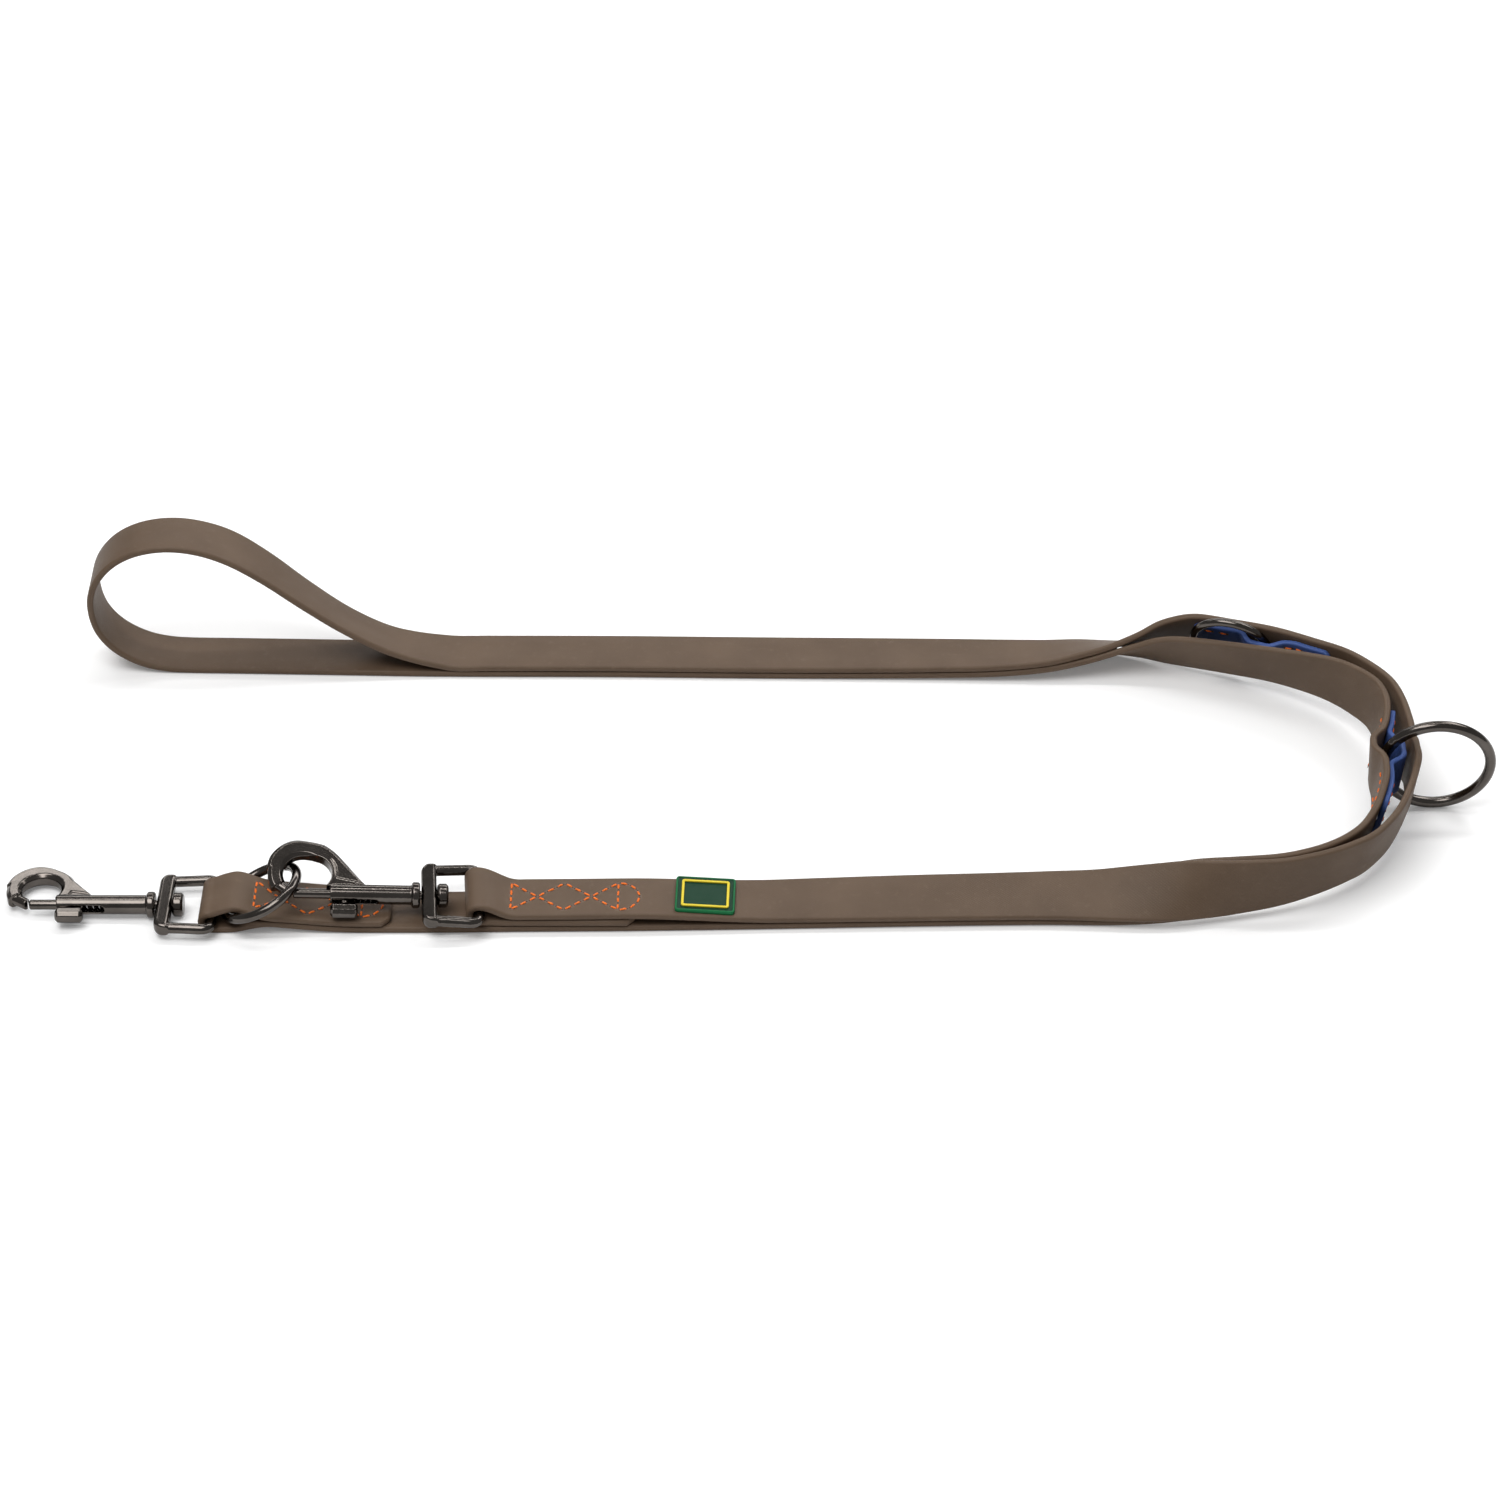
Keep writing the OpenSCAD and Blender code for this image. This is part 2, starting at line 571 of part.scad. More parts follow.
module hook_rim() {
  translate([eye_at[0], eye_at[1], 0]) rotate([0, 0, rim_from])
    rotate_extrude(angle = rim_to - rim_from) translate([eye_r, -hook_t / 2])
      polygon([[rim_chamfer, 0], [eye_rim - rim_chamfer, 0], [eye_rim, rim_chamfer],
        [eye_rim, hook_t - rim_chamfer], [eye_rim - rim_chamfer, hook_t],
        [rim_chamfer, hook_t], [0, hook_t - rim_chamfer], [0, rim_chamfer]]);
}

module clip_hook(stretch) {
  web_inset = 0.3;
  web_t = hook_t - 2 * web_inset;
  // The web starts inside the rim, where the rim is thicker than the web
  web_from = eye_r + rim_chamfer - web_inset + 0.05;
  barrel_start = barrel_front + stretch - 0.4;
  tip_from = [eye_at[0] + (eye_r + eye_rim / 2) * cos(rim_to - 6),
    eye_at[1] + (eye_r + eye_rim / 2) * sin(rim_to - 6), 0];
  difference() {
    union() {
      hook_rim();
      bar(tip_from, [tip_x, 0, 0], tip_r);
      translate([0, 0, -web_t / 2]) linear_extrude(height = web_t) difference() {
        web_outline(stretch);
        translate(eye_at) circle(web_from);
      }
      rod(barrel_start, barrel_back + 1, barrel_d / 2);
      rod(barrel_back, collar_x, collar_d / 2, 0.5);
    }
    if (stretch > 0)
      translate([eye_at[0], eye_at[1], -hook_t]) linear_extrude(height = 2 * hook_t) {
        translate([stretch, 0]) circle(eye_r);
        translate([0, -eye_r]) square([stretch, 2 * eye_r]);
      }
    translate([tip_x, -20, -hook_t]) cube([barrel_front + stretch - tip_x, 20 + tip_r, 2 * hook_t]);
    rod(barrel_front - 1, chamber_back, bolt_d / 2 + run_clear);
    rod(chamber_back - 0.5, collar_x + 1, rivet_d / 2 + 0.01);
    translate([stem_x + stretch, 0, -slot_w / 2]) mirror([0, 1, 0])
      cube([bolt_travel, barrel_d, slot_w]);
    for (x = [0, bolt_travel]) translate([stem_x + stretch + x, 0, 0]) rotate([90, 0, 0])
      cylinder(r = slot_w / 2, h = barrel_d);
  }
}

module clip_bolt(stretch) {
  difference() {
    rod(bolt_front, bolt_back + stretch, bolt_d / 2, 0.4);
    translate([stem_x + stretch, 0.2, 0]) rotate([90, 0, 0])
      cylinder(r = stem_d / 2 + 0.01, h = bolt_d);
  }
}

// Thumb knob: a stem into the bolt and an eight-sided pad along the barrel
module knob_section(inset) {
  z = knob_h / 2 - inset;
  y = knob_depth / 2 - inset;
  c = knob_facet - inset / 2;
  polygon([[-z, c - y], [-z, y - c], [c - z, y], [z - c, y], [z, y - c], [z, c - y], [z - c, -y], [c - z, -y]]);
}

module clip_knob(stretch) {
  middle = knob_reach - knob_depth / 2;
  translate([stem_x + stretch, 0, 0]) rotate([90, 0, 0]) cylinder(r = stem_d / 2, h = middle);
  translate([stem_x + stretch - knob_len / 2, -middle, 0]) rotate([0, 90, 0]) hull() {
    linear_extrude(height = knob_len) knob_section(knob_chamfer);
    translate([0, 0, knob_chamfer]) linear_extrude(height = knob_len - 2 * knob_chamfer) knob_section(0);
  }
}

spring_wire = 0.5;
spring_r = 1.35;
spring_turns = 9;
spring_steps = 8;
spring_sides = 6;
spring_play = 0.1;

module clip_spring(stretch) {
  x0 = bolt_back + stretch + spring_wire / 2 + spring_play;
  x1 = chamber_back - spring_wire / 2 - spring_play;
  n = spring_turns * spring_steps;
  centre = [for (i = [0:n]) [lerp(x0, x1, i / n), spring_r * cos(i * 360 / spring_steps),
    spring_r * sin(i * 360 / spring_steps)]];
  rings = [for (i = [0:n]) let (out = unit([0, centre[i][1], centre[i][2]]))
    each [for (k = [0:spring_sides - 1]) centre[i] + spring_wire / 2
      * (cos(k * 360 / spring_sides) * out + sin(k * 360 / spring_sides) * [1, 0, 0])]];
  sides = [for (i = [0:n - 1], k = [0:spring_sides - 1])
    let (a = i * spring_sides + k, b = i * spring_sides + (k + 1) % spring_sides)
    each [[a, b, b + spring_sides], [a, b + spring_sides, a + spring_sides]]];
  polyhedron(rings, concat(sides, [[for (k = [spring_sides - 1:-1:0]) k],
    [for (k = [0:spring_sides - 1]) n * spring_sides + k]]));
}

// ---- The two clips in place ------------------------------------------------

rear_pitch = 4.9;
rear_roll = 23;
front_roll = -3;

module front_place(turn) {
  translate(at(front_eye[0], front_y, front_eye[1])) rotate([turn, 0, 0]) children();
}

module rear_place(turn) {
  translate(at(rear_eye[0], rear_y, rear_eye[1])) rotate([0, 0, rear_yaw])
    rotate([0, rear_pitch, 0]) rotate([turn, 0, 0]) children();
}

module front_clip_bail() { color(metal_colour) front_place(0) clip_bail(); }
module front_clip_rivet() { color(metal_colour) front_place(front_roll) clip_rivet(); }
module front_clip_hook() { color(metal_colour) front_place(front_roll) clip_hook(0); }
module front_clip_bolt() { color(metal_colour) front_place(front_roll) clip_bolt(0); }
module front_clip_knob() { color(metal_colour) front_place(front_roll) clip_knob(0); }
module front_clip_spring() { color(metal_colour) front_place(front_roll) clip_spring(0); }
module rear_clip_bail() { color(metal_colour) rear_place(rear_tilt) clip_bail(); }
module rear_clip_rivet() { color(metal_colour) rear_place(rear_roll) clip_rivet(); }
module rear_clip_hook() { color(metal_colour) rear_place(rear_roll) clip_hook(rear_stretch); }
module rear_clip_bolt() { color(metal_colour) rear_place(rear_roll) clip_bolt(rear_stretch); }
module rear_clip_knob() { color(metal_colour) rear_place(rear_roll) clip_knob(rear_stretch); }
module rear_clip_spring() { color(metal_colour) rear_place(rear_roll) clip_spring(rear_stretch); }

strap();
end_seam_front();
end_seam_rear();
label_patch();
label_border();
outer_ring_tab();
outer_tab_seam();
inner_ring_tab();
inner_tab_seam();
outer_ring();
inner_ring();
end_ring();
front_clip_bail();
front_clip_rivet();
front_clip_hook();
front_clip_bolt();
front_clip_knob();
front_clip_spring();
rear_clip_bail();
rear_clip_rivet();
rear_clip_hook();
rear_clip_bolt();
rear_clip_knob();
rear_clip_spring();
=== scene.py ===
"""Training leash: a flat coated strap folded in two, with a swivel clip sewn into
each end, a hand loop where it turns back, and three rings to clip to.
Lengths are written in millimetres in the layout of the photograph, where the
strap's near run lies at y = -90 and its far run at y = 53, and every mesh is
put into the frame, in metres, by placed()."""

import bpy
import numpy as np
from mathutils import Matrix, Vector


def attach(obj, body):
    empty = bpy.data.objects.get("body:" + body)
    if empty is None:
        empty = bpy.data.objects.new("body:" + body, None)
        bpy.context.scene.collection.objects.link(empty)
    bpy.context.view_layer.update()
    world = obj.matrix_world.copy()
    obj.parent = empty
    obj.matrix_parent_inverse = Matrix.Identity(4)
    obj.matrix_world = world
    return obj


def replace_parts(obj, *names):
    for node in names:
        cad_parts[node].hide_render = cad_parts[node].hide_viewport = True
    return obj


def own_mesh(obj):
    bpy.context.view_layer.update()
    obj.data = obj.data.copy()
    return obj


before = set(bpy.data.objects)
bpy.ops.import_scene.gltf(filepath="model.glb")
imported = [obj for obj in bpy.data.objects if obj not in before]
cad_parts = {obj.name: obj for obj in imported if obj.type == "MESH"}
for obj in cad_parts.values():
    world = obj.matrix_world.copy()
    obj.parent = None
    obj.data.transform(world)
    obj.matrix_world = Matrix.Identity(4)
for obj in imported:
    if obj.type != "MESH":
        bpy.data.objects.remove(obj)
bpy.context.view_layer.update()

# ==== The strap ===============================================================
# One band of webbing coated with soft matt plastic, 20 mm wide and 2.4 mm thick.
# It is cut from a roll, folded over a clip at each end and sewn to itself; its
# edges are rounded by the coating.

strap_w = 20.0
strap_t = 2.4
strap_edge_r = 0.95
layer_gap = 0.1
tail_len = 42.0
tail_corner = 3.0
bail_wire_d = 3.7
fold_play = 0.15
layout_mid = np.array([3.06, -20.7, -0.04])
up = np.array([0.0, 0.0, 1.0])


def unit(v):
    """Each vector of the last axis divided by its length."""
    return v / np.linalg.norm(v, axis=-1, keepdims=True)


def between(a, b, u):
    """a at u = 0, b at u = 1, straight between."""
    return a + (b - a) * u


def ease(u):
    """Half a cosine wave from 0 to 1 as u goes from 0 to 1."""
    return (1 - np.cos(np.pi * np.clip(u, 0, 1))) / 2


def placed(points):
    """Layout millimetres to metres in the frame: (p - layout_mid) / 1000."""
    return (np.asarray(points, float) - layout_mid) / 1000


def smooth(rows, n):
    """Catmull-Rom curve through rows of numbers, n steps from each to the next."""
    r = np.asarray(rows, float)
    last = len(r) - 1
    i = np.repeat(np.arange(last), n)
    u = np.tile(np.arange(n) / n, last)[:, None]
    a, b, c, d = r[np.maximum(i - 1, 0)], r[i], r[i + 1], r[np.minimum(i + 2, last)]
    bends = (2 * a - 5 * b + 4 * c - d) * u**2 + (3 * b - a - 3 * c + d) * u**3
    return np.vstack([(2 * b + (c - a) * u + bends) / 2, r[-1:]])


def differences(path):
    """For each row, the row after it less the row before it."""
    ends = np.vstack([path[:1], path, path[-1:]])
    return ends[2:] - ends[:-2]


def finer(stations, n):
    """Cubic curve through unevenly spaced rows, n steps from each to the next.
    The slope at a row is the mean of its two chords, weighted by the other's
    length, so that a short step beside a long one doesn't fold back."""
    p = np.asarray(stations, float)
    chord = np.diff(p, axis=0)
    size = np.linalg.norm(chord[:, :3], axis=1)[:, None]
    slope = chord / size
    mean = (slope[:-1] * size[1:] + slope[1:] * size[:-1]) / (size[1:] + size[:-1])
    m = np.vstack([slope[:1], mean, slope[-1:]])
    i = np.repeat(np.arange(len(p) - 1), n)
    u = np.tile(np.arange(n) / n, len(p) - 1)[:, None]
    h = 2 * u**3 - 3 * u**2
    curve = (1 + h) * p[i] - h * p[i + 1]
    curve += size[i] * ((u**3 - 2 * u**2 + u) * m[i] + (u**3 - u**2) * m[i + 1])
    return np.vstack([curve, p[-1:]])


# The two layers lie on each other: x, y, lift off the surface, roll from flat in
# degrees, extra gap between the layers. From the hand loop round to the clips.
layer_rows = [
    [-96, 53.2, 0, 0, 0], [-50, 53, 0, 0, 0], [0, 52.2, 0, 0, 0], [40, 51.6, 0, 1, 0],
    [70, 51, 0, 3, 0], [90, 50.4, 0, 6, 0], [106, 50, 0, 12, 0], [119, 50.2, 0, 21, 0.2],
    [130, 50, 0, 32, 0.2], [140, 48.4, 0.5, 45, 1.6], [148, 46, 1.2, 57, 4.8],
    [157, 42.2, 2.6, 63, 7.3], [170, 36.8, 4, 66, 7], [184, 30.4, 5.6, 69, 6.4],
    [197.5, 22.8, 7, 77, 4.7], [206.5, 16.3, 8, 86, 4], [213, 9, 8.8, 92, 3.2],
    [217.8, 0.8, 9.4, 95, 2.8], [219.4, -9, 9.8, 96, 3.4], [218, -20, 10, 96, 6],
    [215.6, -28, 10, 95, 8.8], [215, -34.5, 10, 95, 9.4], [214.9, -41, 10, 96, 9.2],
    [214, -51, 9.6, 99, 6.6], [210.6, -62, 9, 101, 5.2], [207.4, -69, 8.4, 102, 4],
    [203.2, -75.4, 7.6, 103, 2.7], [198.4, -80, 6.8, 102, 1.3], [192.5, -83.8, 6, 100, 0.5],
    [185.5, -86.6, 5, 97, 0.1], [176.5, -89, 4, 92, 0], [163.5, -90.4, 2.6, 81, 0],
    [153, -90.8, 1.6, 68, 0], [138, -90.4, 0.6, 42, 0], [118, -88.8, 0, 20, 0],
    [100, -88.1, 0, 13, 0], [80, -88.2, 0, 10, 0], [50, -88.8, 0, 8, 0],
    [20, -89.5, 0, 5, 0.1], [3, -89.9, 0, 3, 0.3], [-16, -90.3, 0, 1, 1.4],
    [-36, -90.7, 0, 0, 2.5], [-58, -91, 0, 0, 2.5], [-78, -91.2, 0, 0, 2.5],
]  # fmt: skip
# The hand loop: x, y, z and the angle by which its near edge is raised.
flat_z = strap_t / 2
tail_step = strap_t + layer_gap
loop_rows = [
    [-108, 53.3, flat_z + tail_step, 0], [-120, 53.6, flat_z + tail_step + 2.2, 5],
    [-132, 54, 9.8, 9], [-146, 54.6, 17.8, 10], [-160, 55.1, 28.6, 7], [-172, 55.5, 38.8, 3],
    [-184, 55.9, 47.2, 0], [-195, 56.1, 51.7, 0], [-206, 56.2, 53.2, 0],
    [-216.5, 56.2, 51.6, 0], [-225, 56.1, 47.4, 0], [-231.2, 56, 41, 0], [-234.6, 56, 33.6, 0],
    [-235.2, 56, 26, 0], [-233.6, 56, 18.2, 0], [-229.8, 56, 11.8, 0], [-224.4, 55.9, 7, 0],
    [-217.6, 55.8, 3.5, 0], [-210, 55.7, 1.7, 0], [-202, 55.6, flat_z, 0],
    [-190, 55.3, flat_z, 0], [-162, 54.6, flat_z, 0], [-126, 53.6, flat_z, 0],
]  # fmt: skip

layers = smooth(layer_rows, 4)
roll = np.radians(layers[:, 3:4])
ahead = differences(layers)
sideways = unit(np.stack([-ahead[:, 1], ahead[:, 0], 0 * ahead[:, 0]], 1))
across = up * np.sin(roll) - sideways * np.cos(roll)
outward = sideways * np.sin(roll) + up * np.cos(roll)


def layer_line(angle):
    """The layer's middle line where its roll is angle: its lower edge keeps its lift."""
    rise = strap_w / 2 * np.sin(angle) + strap_t / 2 * abs(np.cos(angle))
    return np.hstack([layers[:, :2], np.maximum(layers[:, 2:3], 0) + rise])


base_layer = layer_line(roll)
upper_layer = base_layer + outward * (strap_t + layer_gap + np.maximum(layers[:, 4:], 0))
# The large ring's wire presses the lower layer in and turns its top edge in.
ring_y, ring_dip, ring_twist = -34.3, 1.6, 8
dip_flat, dip_ramp, bend_starts_x = 1.5, 7.5, 200
dip = ease((dip_flat + dip_ramp - abs(layers[:, 1:2] - ring_y)) / dip_ramp)
dip = dip * (layers[:, :1] >= bend_starts_x)
lower_roll = roll - np.radians(ring_twist) * dip
lower_layer = layer_line(lower_roll) - sideways * ring_dip * dip
lower_across = up * np.sin(lower_roll) - sideways * np.cos(lower_roll)
loop = smooth(loop_rows, 3)
loop_tilt = np.radians(loop[:, 3])
loop_across = np.stack([0 * loop_tilt, -np.cos(loop_tilt), np.sin(loop_tilt)], 1)

# The front fold: under the front clip's bar and round it, then over the end
# ring's wire in a hump, and back on top as the sewn tail. Rows: x, rise.
fold_r = bail_wire_d / 2 + fold_play + strap_t / 2
front_eye = np.array([-179.2, strap_t / 2 + fold_r])
front_y = -91.7
front_rise = [[-100, 0], [-120, 0], [-131, 0], [-140, 0.4], [-150, 1.4], [-160, 2.4]]
front_belly = [[-165, 1.8], [-169, 0.8], [-172, 0.2], [-176, 0]]
front_hump = [[-176, 5.2], [-172, 6.3], [-168.8, 5.6], [-165, 3.9]]
front_lower = smooth(np.add(front_rise + front_belly, [0, flat_z]), 2)
front_upper = smooth(np.add(front_hump + front_rise[:0:-1], [0, flat_z + tail_step]), 2)
half_turn = np.radians(np.arange(270, 89, -22.5))[:, None]
front_turn = front_eye + fold_r * np.hstack([np.cos(half_turn), np.sin(half_turn)])
front_tip_x = front_eye[0] + 17.6 + tail_len
front_tail = front_upper[front_upper[:, 0] < front_tip_x - tail_corner - 1]
front_tips = [[front_tip_x - c, flat_z + tail_step] for c in (tail_corner, 0)]
front_fold = np.vstack([front_lower, front_turn, front_tail, front_tips])

# The rear fold: the tail lies under the upper layer, goes round the rear clip's
# bar, which is turned and tilted a little, and comes back on top.
rear_yaw, rear_tilt = np.radians(4.5), np.radians(4)
rear_drop = strap_w / 2 * np.sin(rear_tilt)
rear_eye = np.array([-90.7, strap_t + layer_gap + rear_drop + strap_t / 2 + fold_r])
rear_y = -91.2
rear_end_x = -78.0
rear_u = np.linspace(0, 1, 6)[:, None]


def rear_branch(side):
    """The strap below (side -1) or above (+1) the bar, easing to its layer."""
    flat = flat_z + tail_step + (side + 1) / 2 * tail_step
    lift = between(rear_eye[1] + side * fold_r, flat, ease(rear_u))
    return np.hstack([between(rear_eye[0], rear_end_x, rear_u), lift])


rear_angle = np.radians(np.arange(247.5, 112, -22.5))[:, None]
rear_turn = rear_eye + fold_r * np.hstack([np.cos(rear_angle), np.sin(rear_angle)])
rear_tip_x = rear_end_x + tail_len - 2
rear_tail = [[rear_tip_x - c, flat_z + tail_step] for c in (0, tail_corner, tail_len / 2)]
rear_fold = np.vstack([rear_tail, rear_branch(-1)[::-1], rear_turn, rear_branch(1)[:-1]])
rear_share = 1 - ease((rear_fold[:, :1] - rear_eye[0]) / (rear_end_x - rear_eye[0]))
rear_across = np.hstack(
    [-np.sin(rear_yaw * rear_share), np.cos(rear_yaw * rear_share), np.sin(rear_tilt * rear_share)]
)


def stations(points, width_way, y=None):
    """Rows of a path point and the direction across the strap there. Points of
    two columns are x and z at the given y."""
    points = np.asarray(points, float)
    if y is not None:
        points = np.insert(points, 1, y, axis=1)
    return np.hstack([points, unit(np.broadcast_to(width_way, points.shape))])


strap_stations = np.vstack([
    stations(rear_fold, rear_across, rear_y),
    stations(upper_layer, across)[::-1],
    stations(loop[:, :3], loop_across),
    stations(lower_layer, lower_across),
    stations(front_fold, np.array([0.0, 1.0, 0.0]), front_y),
])  # fmt: skip


def rounded_section(w, t, r, n=5):
    """Points round a w by t rectangle whose corners are arcs of radius r, as
    offsets from its middle: n points an arc, and two more on each long side."""
    a = np.linspace(0, np.pi / 2, n)
    arcs = []
    for k, (sx, sy) in enumerate([(1, 1), (-1, 1), (-1, -1), (1, -1)]):
        turn = a + k * np.pi / 2
        corner = [sx * (w / 2 - r), sy * (t / 2 - r)]
        arcs.append(corner + r * np.stack([np.cos(turn), np.sin(turn)], 1))
        if k % 2 == 0:
            arcs.append(np.array([[sx * w / 6, sy * t / 2], [-sx * w / 6, sy * t / 2]]))
    return np.vstack(arcs)


def grid_faces(rows, columns):
    """Quads of a grid of points whose columns close into rings."""
    i, k = np.meshgrid(np.arange(rows - 1), np.arange(columns), indexing="ij")
    a, b = i * columns + k, i * columns + (k + 1) % columns
    return np.stack([a, b, b + columns, a + columns], -1).reshape(-1, 4)


def mesh_piece(name, points, faces, uv=None, material=None, smooth_faces=True):
    """A mesh object from points in metres, quads or other faces, and one UV pair
    a point. Its faces are shaded smooth."""
    mesh = bpy.data.meshes.new(name)
    mesh.from_pydata(np.asarray(points, float).reshape(-1, 3), [], [list(f) for f in faces])
    if uv is not None:
        layer = mesh.uv_layers.new(name="along")
        corner = np.zeros(len(mesh.loops), np.int32)
        mesh.loops.foreach_get("vertex_index", corner)
        layer.data.foreach_set("uv", np.asarray(uv, np.float32).reshape(-1, 2)[corner].ravel())
    mesh.polygons.foreach_set("use_smooth", np.full(len(mesh.polygons), smooth_faces))
    mesh.update()
    piece = bpy.data.objects.new(name, mesh)
    bpy.context.scene.collection.objects.link(piece)
    if material is not None:
        mesh.materials.append(material)
    return piece


def band(name, path, w, t, r, corner, material):
    """A rounded section carried along stations: each point is the path point,
    plus its width offset times the width direction, plus its thickness offset
    times the face direction, which is at right angles to path and width. The
    tips are cut back by corner and rounded by r. UV: distance along, round."""
    dense = finer(path, 3)
    run = np.r_[0, np.cumsum(np.linalg.norm(np.diff(dense[:, :3], axis=0), axis=1))]
    tip = np.r_[0, 0.08, 0.25, 0.5, 0.75, 1] * r
    s = np.unique(np.round(np.r_[run, tip, run[-1] - tip], 4))
    s = s[np.r_[True, np.diff(s) > 0.02]]
    rows = np.stack([np.interp(s, run, column) for column in dense.T], 1)
    p, a = rows[:, :3], unit(rows[:, 3:])
    face = unit(np.cross(differences(p), a))
    near_tip = np.minimum(s, run[-1] - s)
    rounding = r - np.sqrt(np.maximum(r**2 - np.maximum(r - near_tip, 0) ** 2, 0))
    cut = np.maximum(corner - near_tip, 0) + rounding
    section = rounded_section(w, t, r)
    x = np.sign(section[:, 0]) * np.maximum(abs(section[:, 0]) - cut[:, None], 0.02)
    z = np.sign(section[:, 1]) * np.maximum(abs(section[:, 1]) - 0.9 * rounding[:, None], 0.02)
    points = p[:, None] + x[..., None] * a[:, None] + z[..., None] * face[:, None]
    n = len(section)
    girth = np.linalg.norm(np.diff(section, axis=0, prepend=section[-1:]), axis=1).cumsum()
    uv = np.stack(np.broadcast_arrays(s[:, None], girth[None]), -1) / 1000
    faces = [*grid_faces(len(s), n), range(n - 1, -1, -1), range((len(s) - 1) * n, len(s) * n)]
    return mesh_piece(name, placed(points), faces, uv, material)


class Value:
    """A number in a material's node tree. Arithmetic on it adds Math nodes."""

    def __init__(self, finish, socket):
        self.finish, self.socket = finish, socket

    def maths(self, operation, *terms):
        sockets = dict(enumerate(terms))
        return self.finish.node("ShaderNodeMath", {"operation": operation}, sockets)

    def __add__(self, other):
        return self.maths("ADD", self, other)

    __radd__ = __add__

    def __sub__(self, other):
        return self.maths("SUBTRACT", self, other)

    def __rsub__(self, other):
        return self.maths("SUBTRACT", other, self)

    def __mul__(self, other):
        return self.maths("MULTIPLY", self, other)

    __rmul__ = __mul__

    def __pow__(self, power):
        return self.maths("POWER", self, power)

    def sine(self):
        return self.maths("SINE", self)

    def size(self):
        return self.maths("ABSOLUTE", self)

    def ramp(self, low, high):
        """0 below low, 1 above high, straight between."""
        return self.finish.node(
            "ShaderNodeMapRange", {}, {"Value": self, "From Min": low, "From Max": high}
        )


class Finish:
    """A procedural material, with one method that adds any node to it."""

    def __init__(self, name, **constants):
        self.material = bpy.data.materials.new(name)
        self.material.use_nodes = True
        self.tree = self.material.node_tree
        self.shader = self.tree.nodes["Principled BSDF"]
        for socket, value in constants.items():
            self.shader.inputs[socket.replace("_", " ")].default_value = value

    def node(self, kind, settings, sockets, output=0):
        """Adds a node: settings first, then the values or links of its sockets."""
        made = self.tree.nodes.new(kind)
        for key, value in settings.items():
            setattr(made, key, value)
        for key, value in sockets.items():
            if isinstance(value, Value):
                self.tree.links.new(value.socket, made.inputs[key])
            else:
                made.inputs[key].default_value = value
        return Value(self, made.outputs[output])

    def place(self, uv=False, scale=(1000, 1000, 1000), turn=(0, 0, 0)):
        """Object or UV coordinates in millimetres, turned and stretched."""
        if uv:
            source = self.node("ShaderNodeUVMap", {"uv_map": "along"}, {})
        else:
            source = self.node("ShaderNodeTexCoord", {}, {}, "Object")
        sockets = {"Vector": source, "Scale": scale, "Rotation": turn}
        return self.node("ShaderNodeMapping", {}, sockets)

    def noise(self, place, scale, detail=3.0, roughness=0.55):
        sockets = {"Vector": place, "Scale": scale, "Detail": detail, "Roughness": roughness}
        return self.node("ShaderNodeTexNoise", {}, sockets)

    def mix(self, share, a, b):
        """Colour a where share is 0 and b where it is 1."""
        colours = {"Factor": share, 6: a, 7: b}
        return self.node("ShaderNodeMix", {"data_type": "RGBA"}, colours, 2)

    def bump(self, relief, depth, strength=1.0):
        """A Bump node's normal for a relief of 0 to 1 that is depth metres high."""
        sockets = {"Height": relief, "Distance": depth, "Strength": strength}
        return self.node("ShaderNodeBump", {}, sockets)

    def feed(self, **values):
        for socket, value in values.items():
            self.tree.links.new(value.socket, self.shader.inputs[socket.replace("_", " ")])


def colour(r, g, b):
    """A screen colour, 0 to 255 a channel, as the linear RGBA that a node takes."""
    c = np.array([r, g, b]) / 255
    linear = np.where(c <= 0.04045, c / 12.92, ((c + 0.055) / 1.055) ** 2.4)
    return (*linear, 1.0)


def coated_webbing(name, body, pale, dark, grain_depth):
    """Webbing under a soft matt coat: cloudy tone, the faint print of the weave
    along and across the band, a leathery grain and small rubbed spots."""
    finish = Finish(name, Specular_IOR_Level=0.26)
    flat = finish.place(uv=True, scale=(1000, 1000, 1000))
    cloud = finish.noise(flat, 0.045, 2.0)
    grain = finish.noise(flat, 2.6, 4.0, 0.6)
    fine = finish.noise(flat, 7.5, 2.0)
    along = finish.node("ShaderNodeSeparateXYZ", {}, {"Vector": flat}, 0)
    round_way = finish.node("ShaderNodeSeparateXYZ", {}, {"Vector": flat}, 1)
    weave = (along * 5.2).sine() * (round_way * 6.4).sine()
    rubbed = finish.noise(flat, 0.35, 5.0, 0.7).ramp(0.56, 0.72)
    tone = finish.mix(cloud.ramp(0.3, 0.7), dark, body)
    tone = finish.mix(rubbed * 0.5, tone, pale)
    tone = finish.mix((fine.ramp(0.35, 0.65)) * 0.22, tone, dark)
    finish.feed(
        Base_Color=tone,
        Roughness=0.44 + grain * 0.16 - rubbed * 0.05,
        Normal=finish.bump(grain * 0.6 + fine * 0.25 + weave * 0.1, grain_depth),
    )
    return finish.material


strap_finish = coated_webbing(
    "taupe_coated_webbing", colour(98, 80, 64), colour(108, 90, 74), colour(88, 71, 56), 0.00012
)
strap_band = band(
    "strap_band", strap_stations, strap_w, strap_t, strap_edge_r, tail_corner, strap_finish
)
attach(strap_band, "leash")
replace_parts(strap_band, "strap")
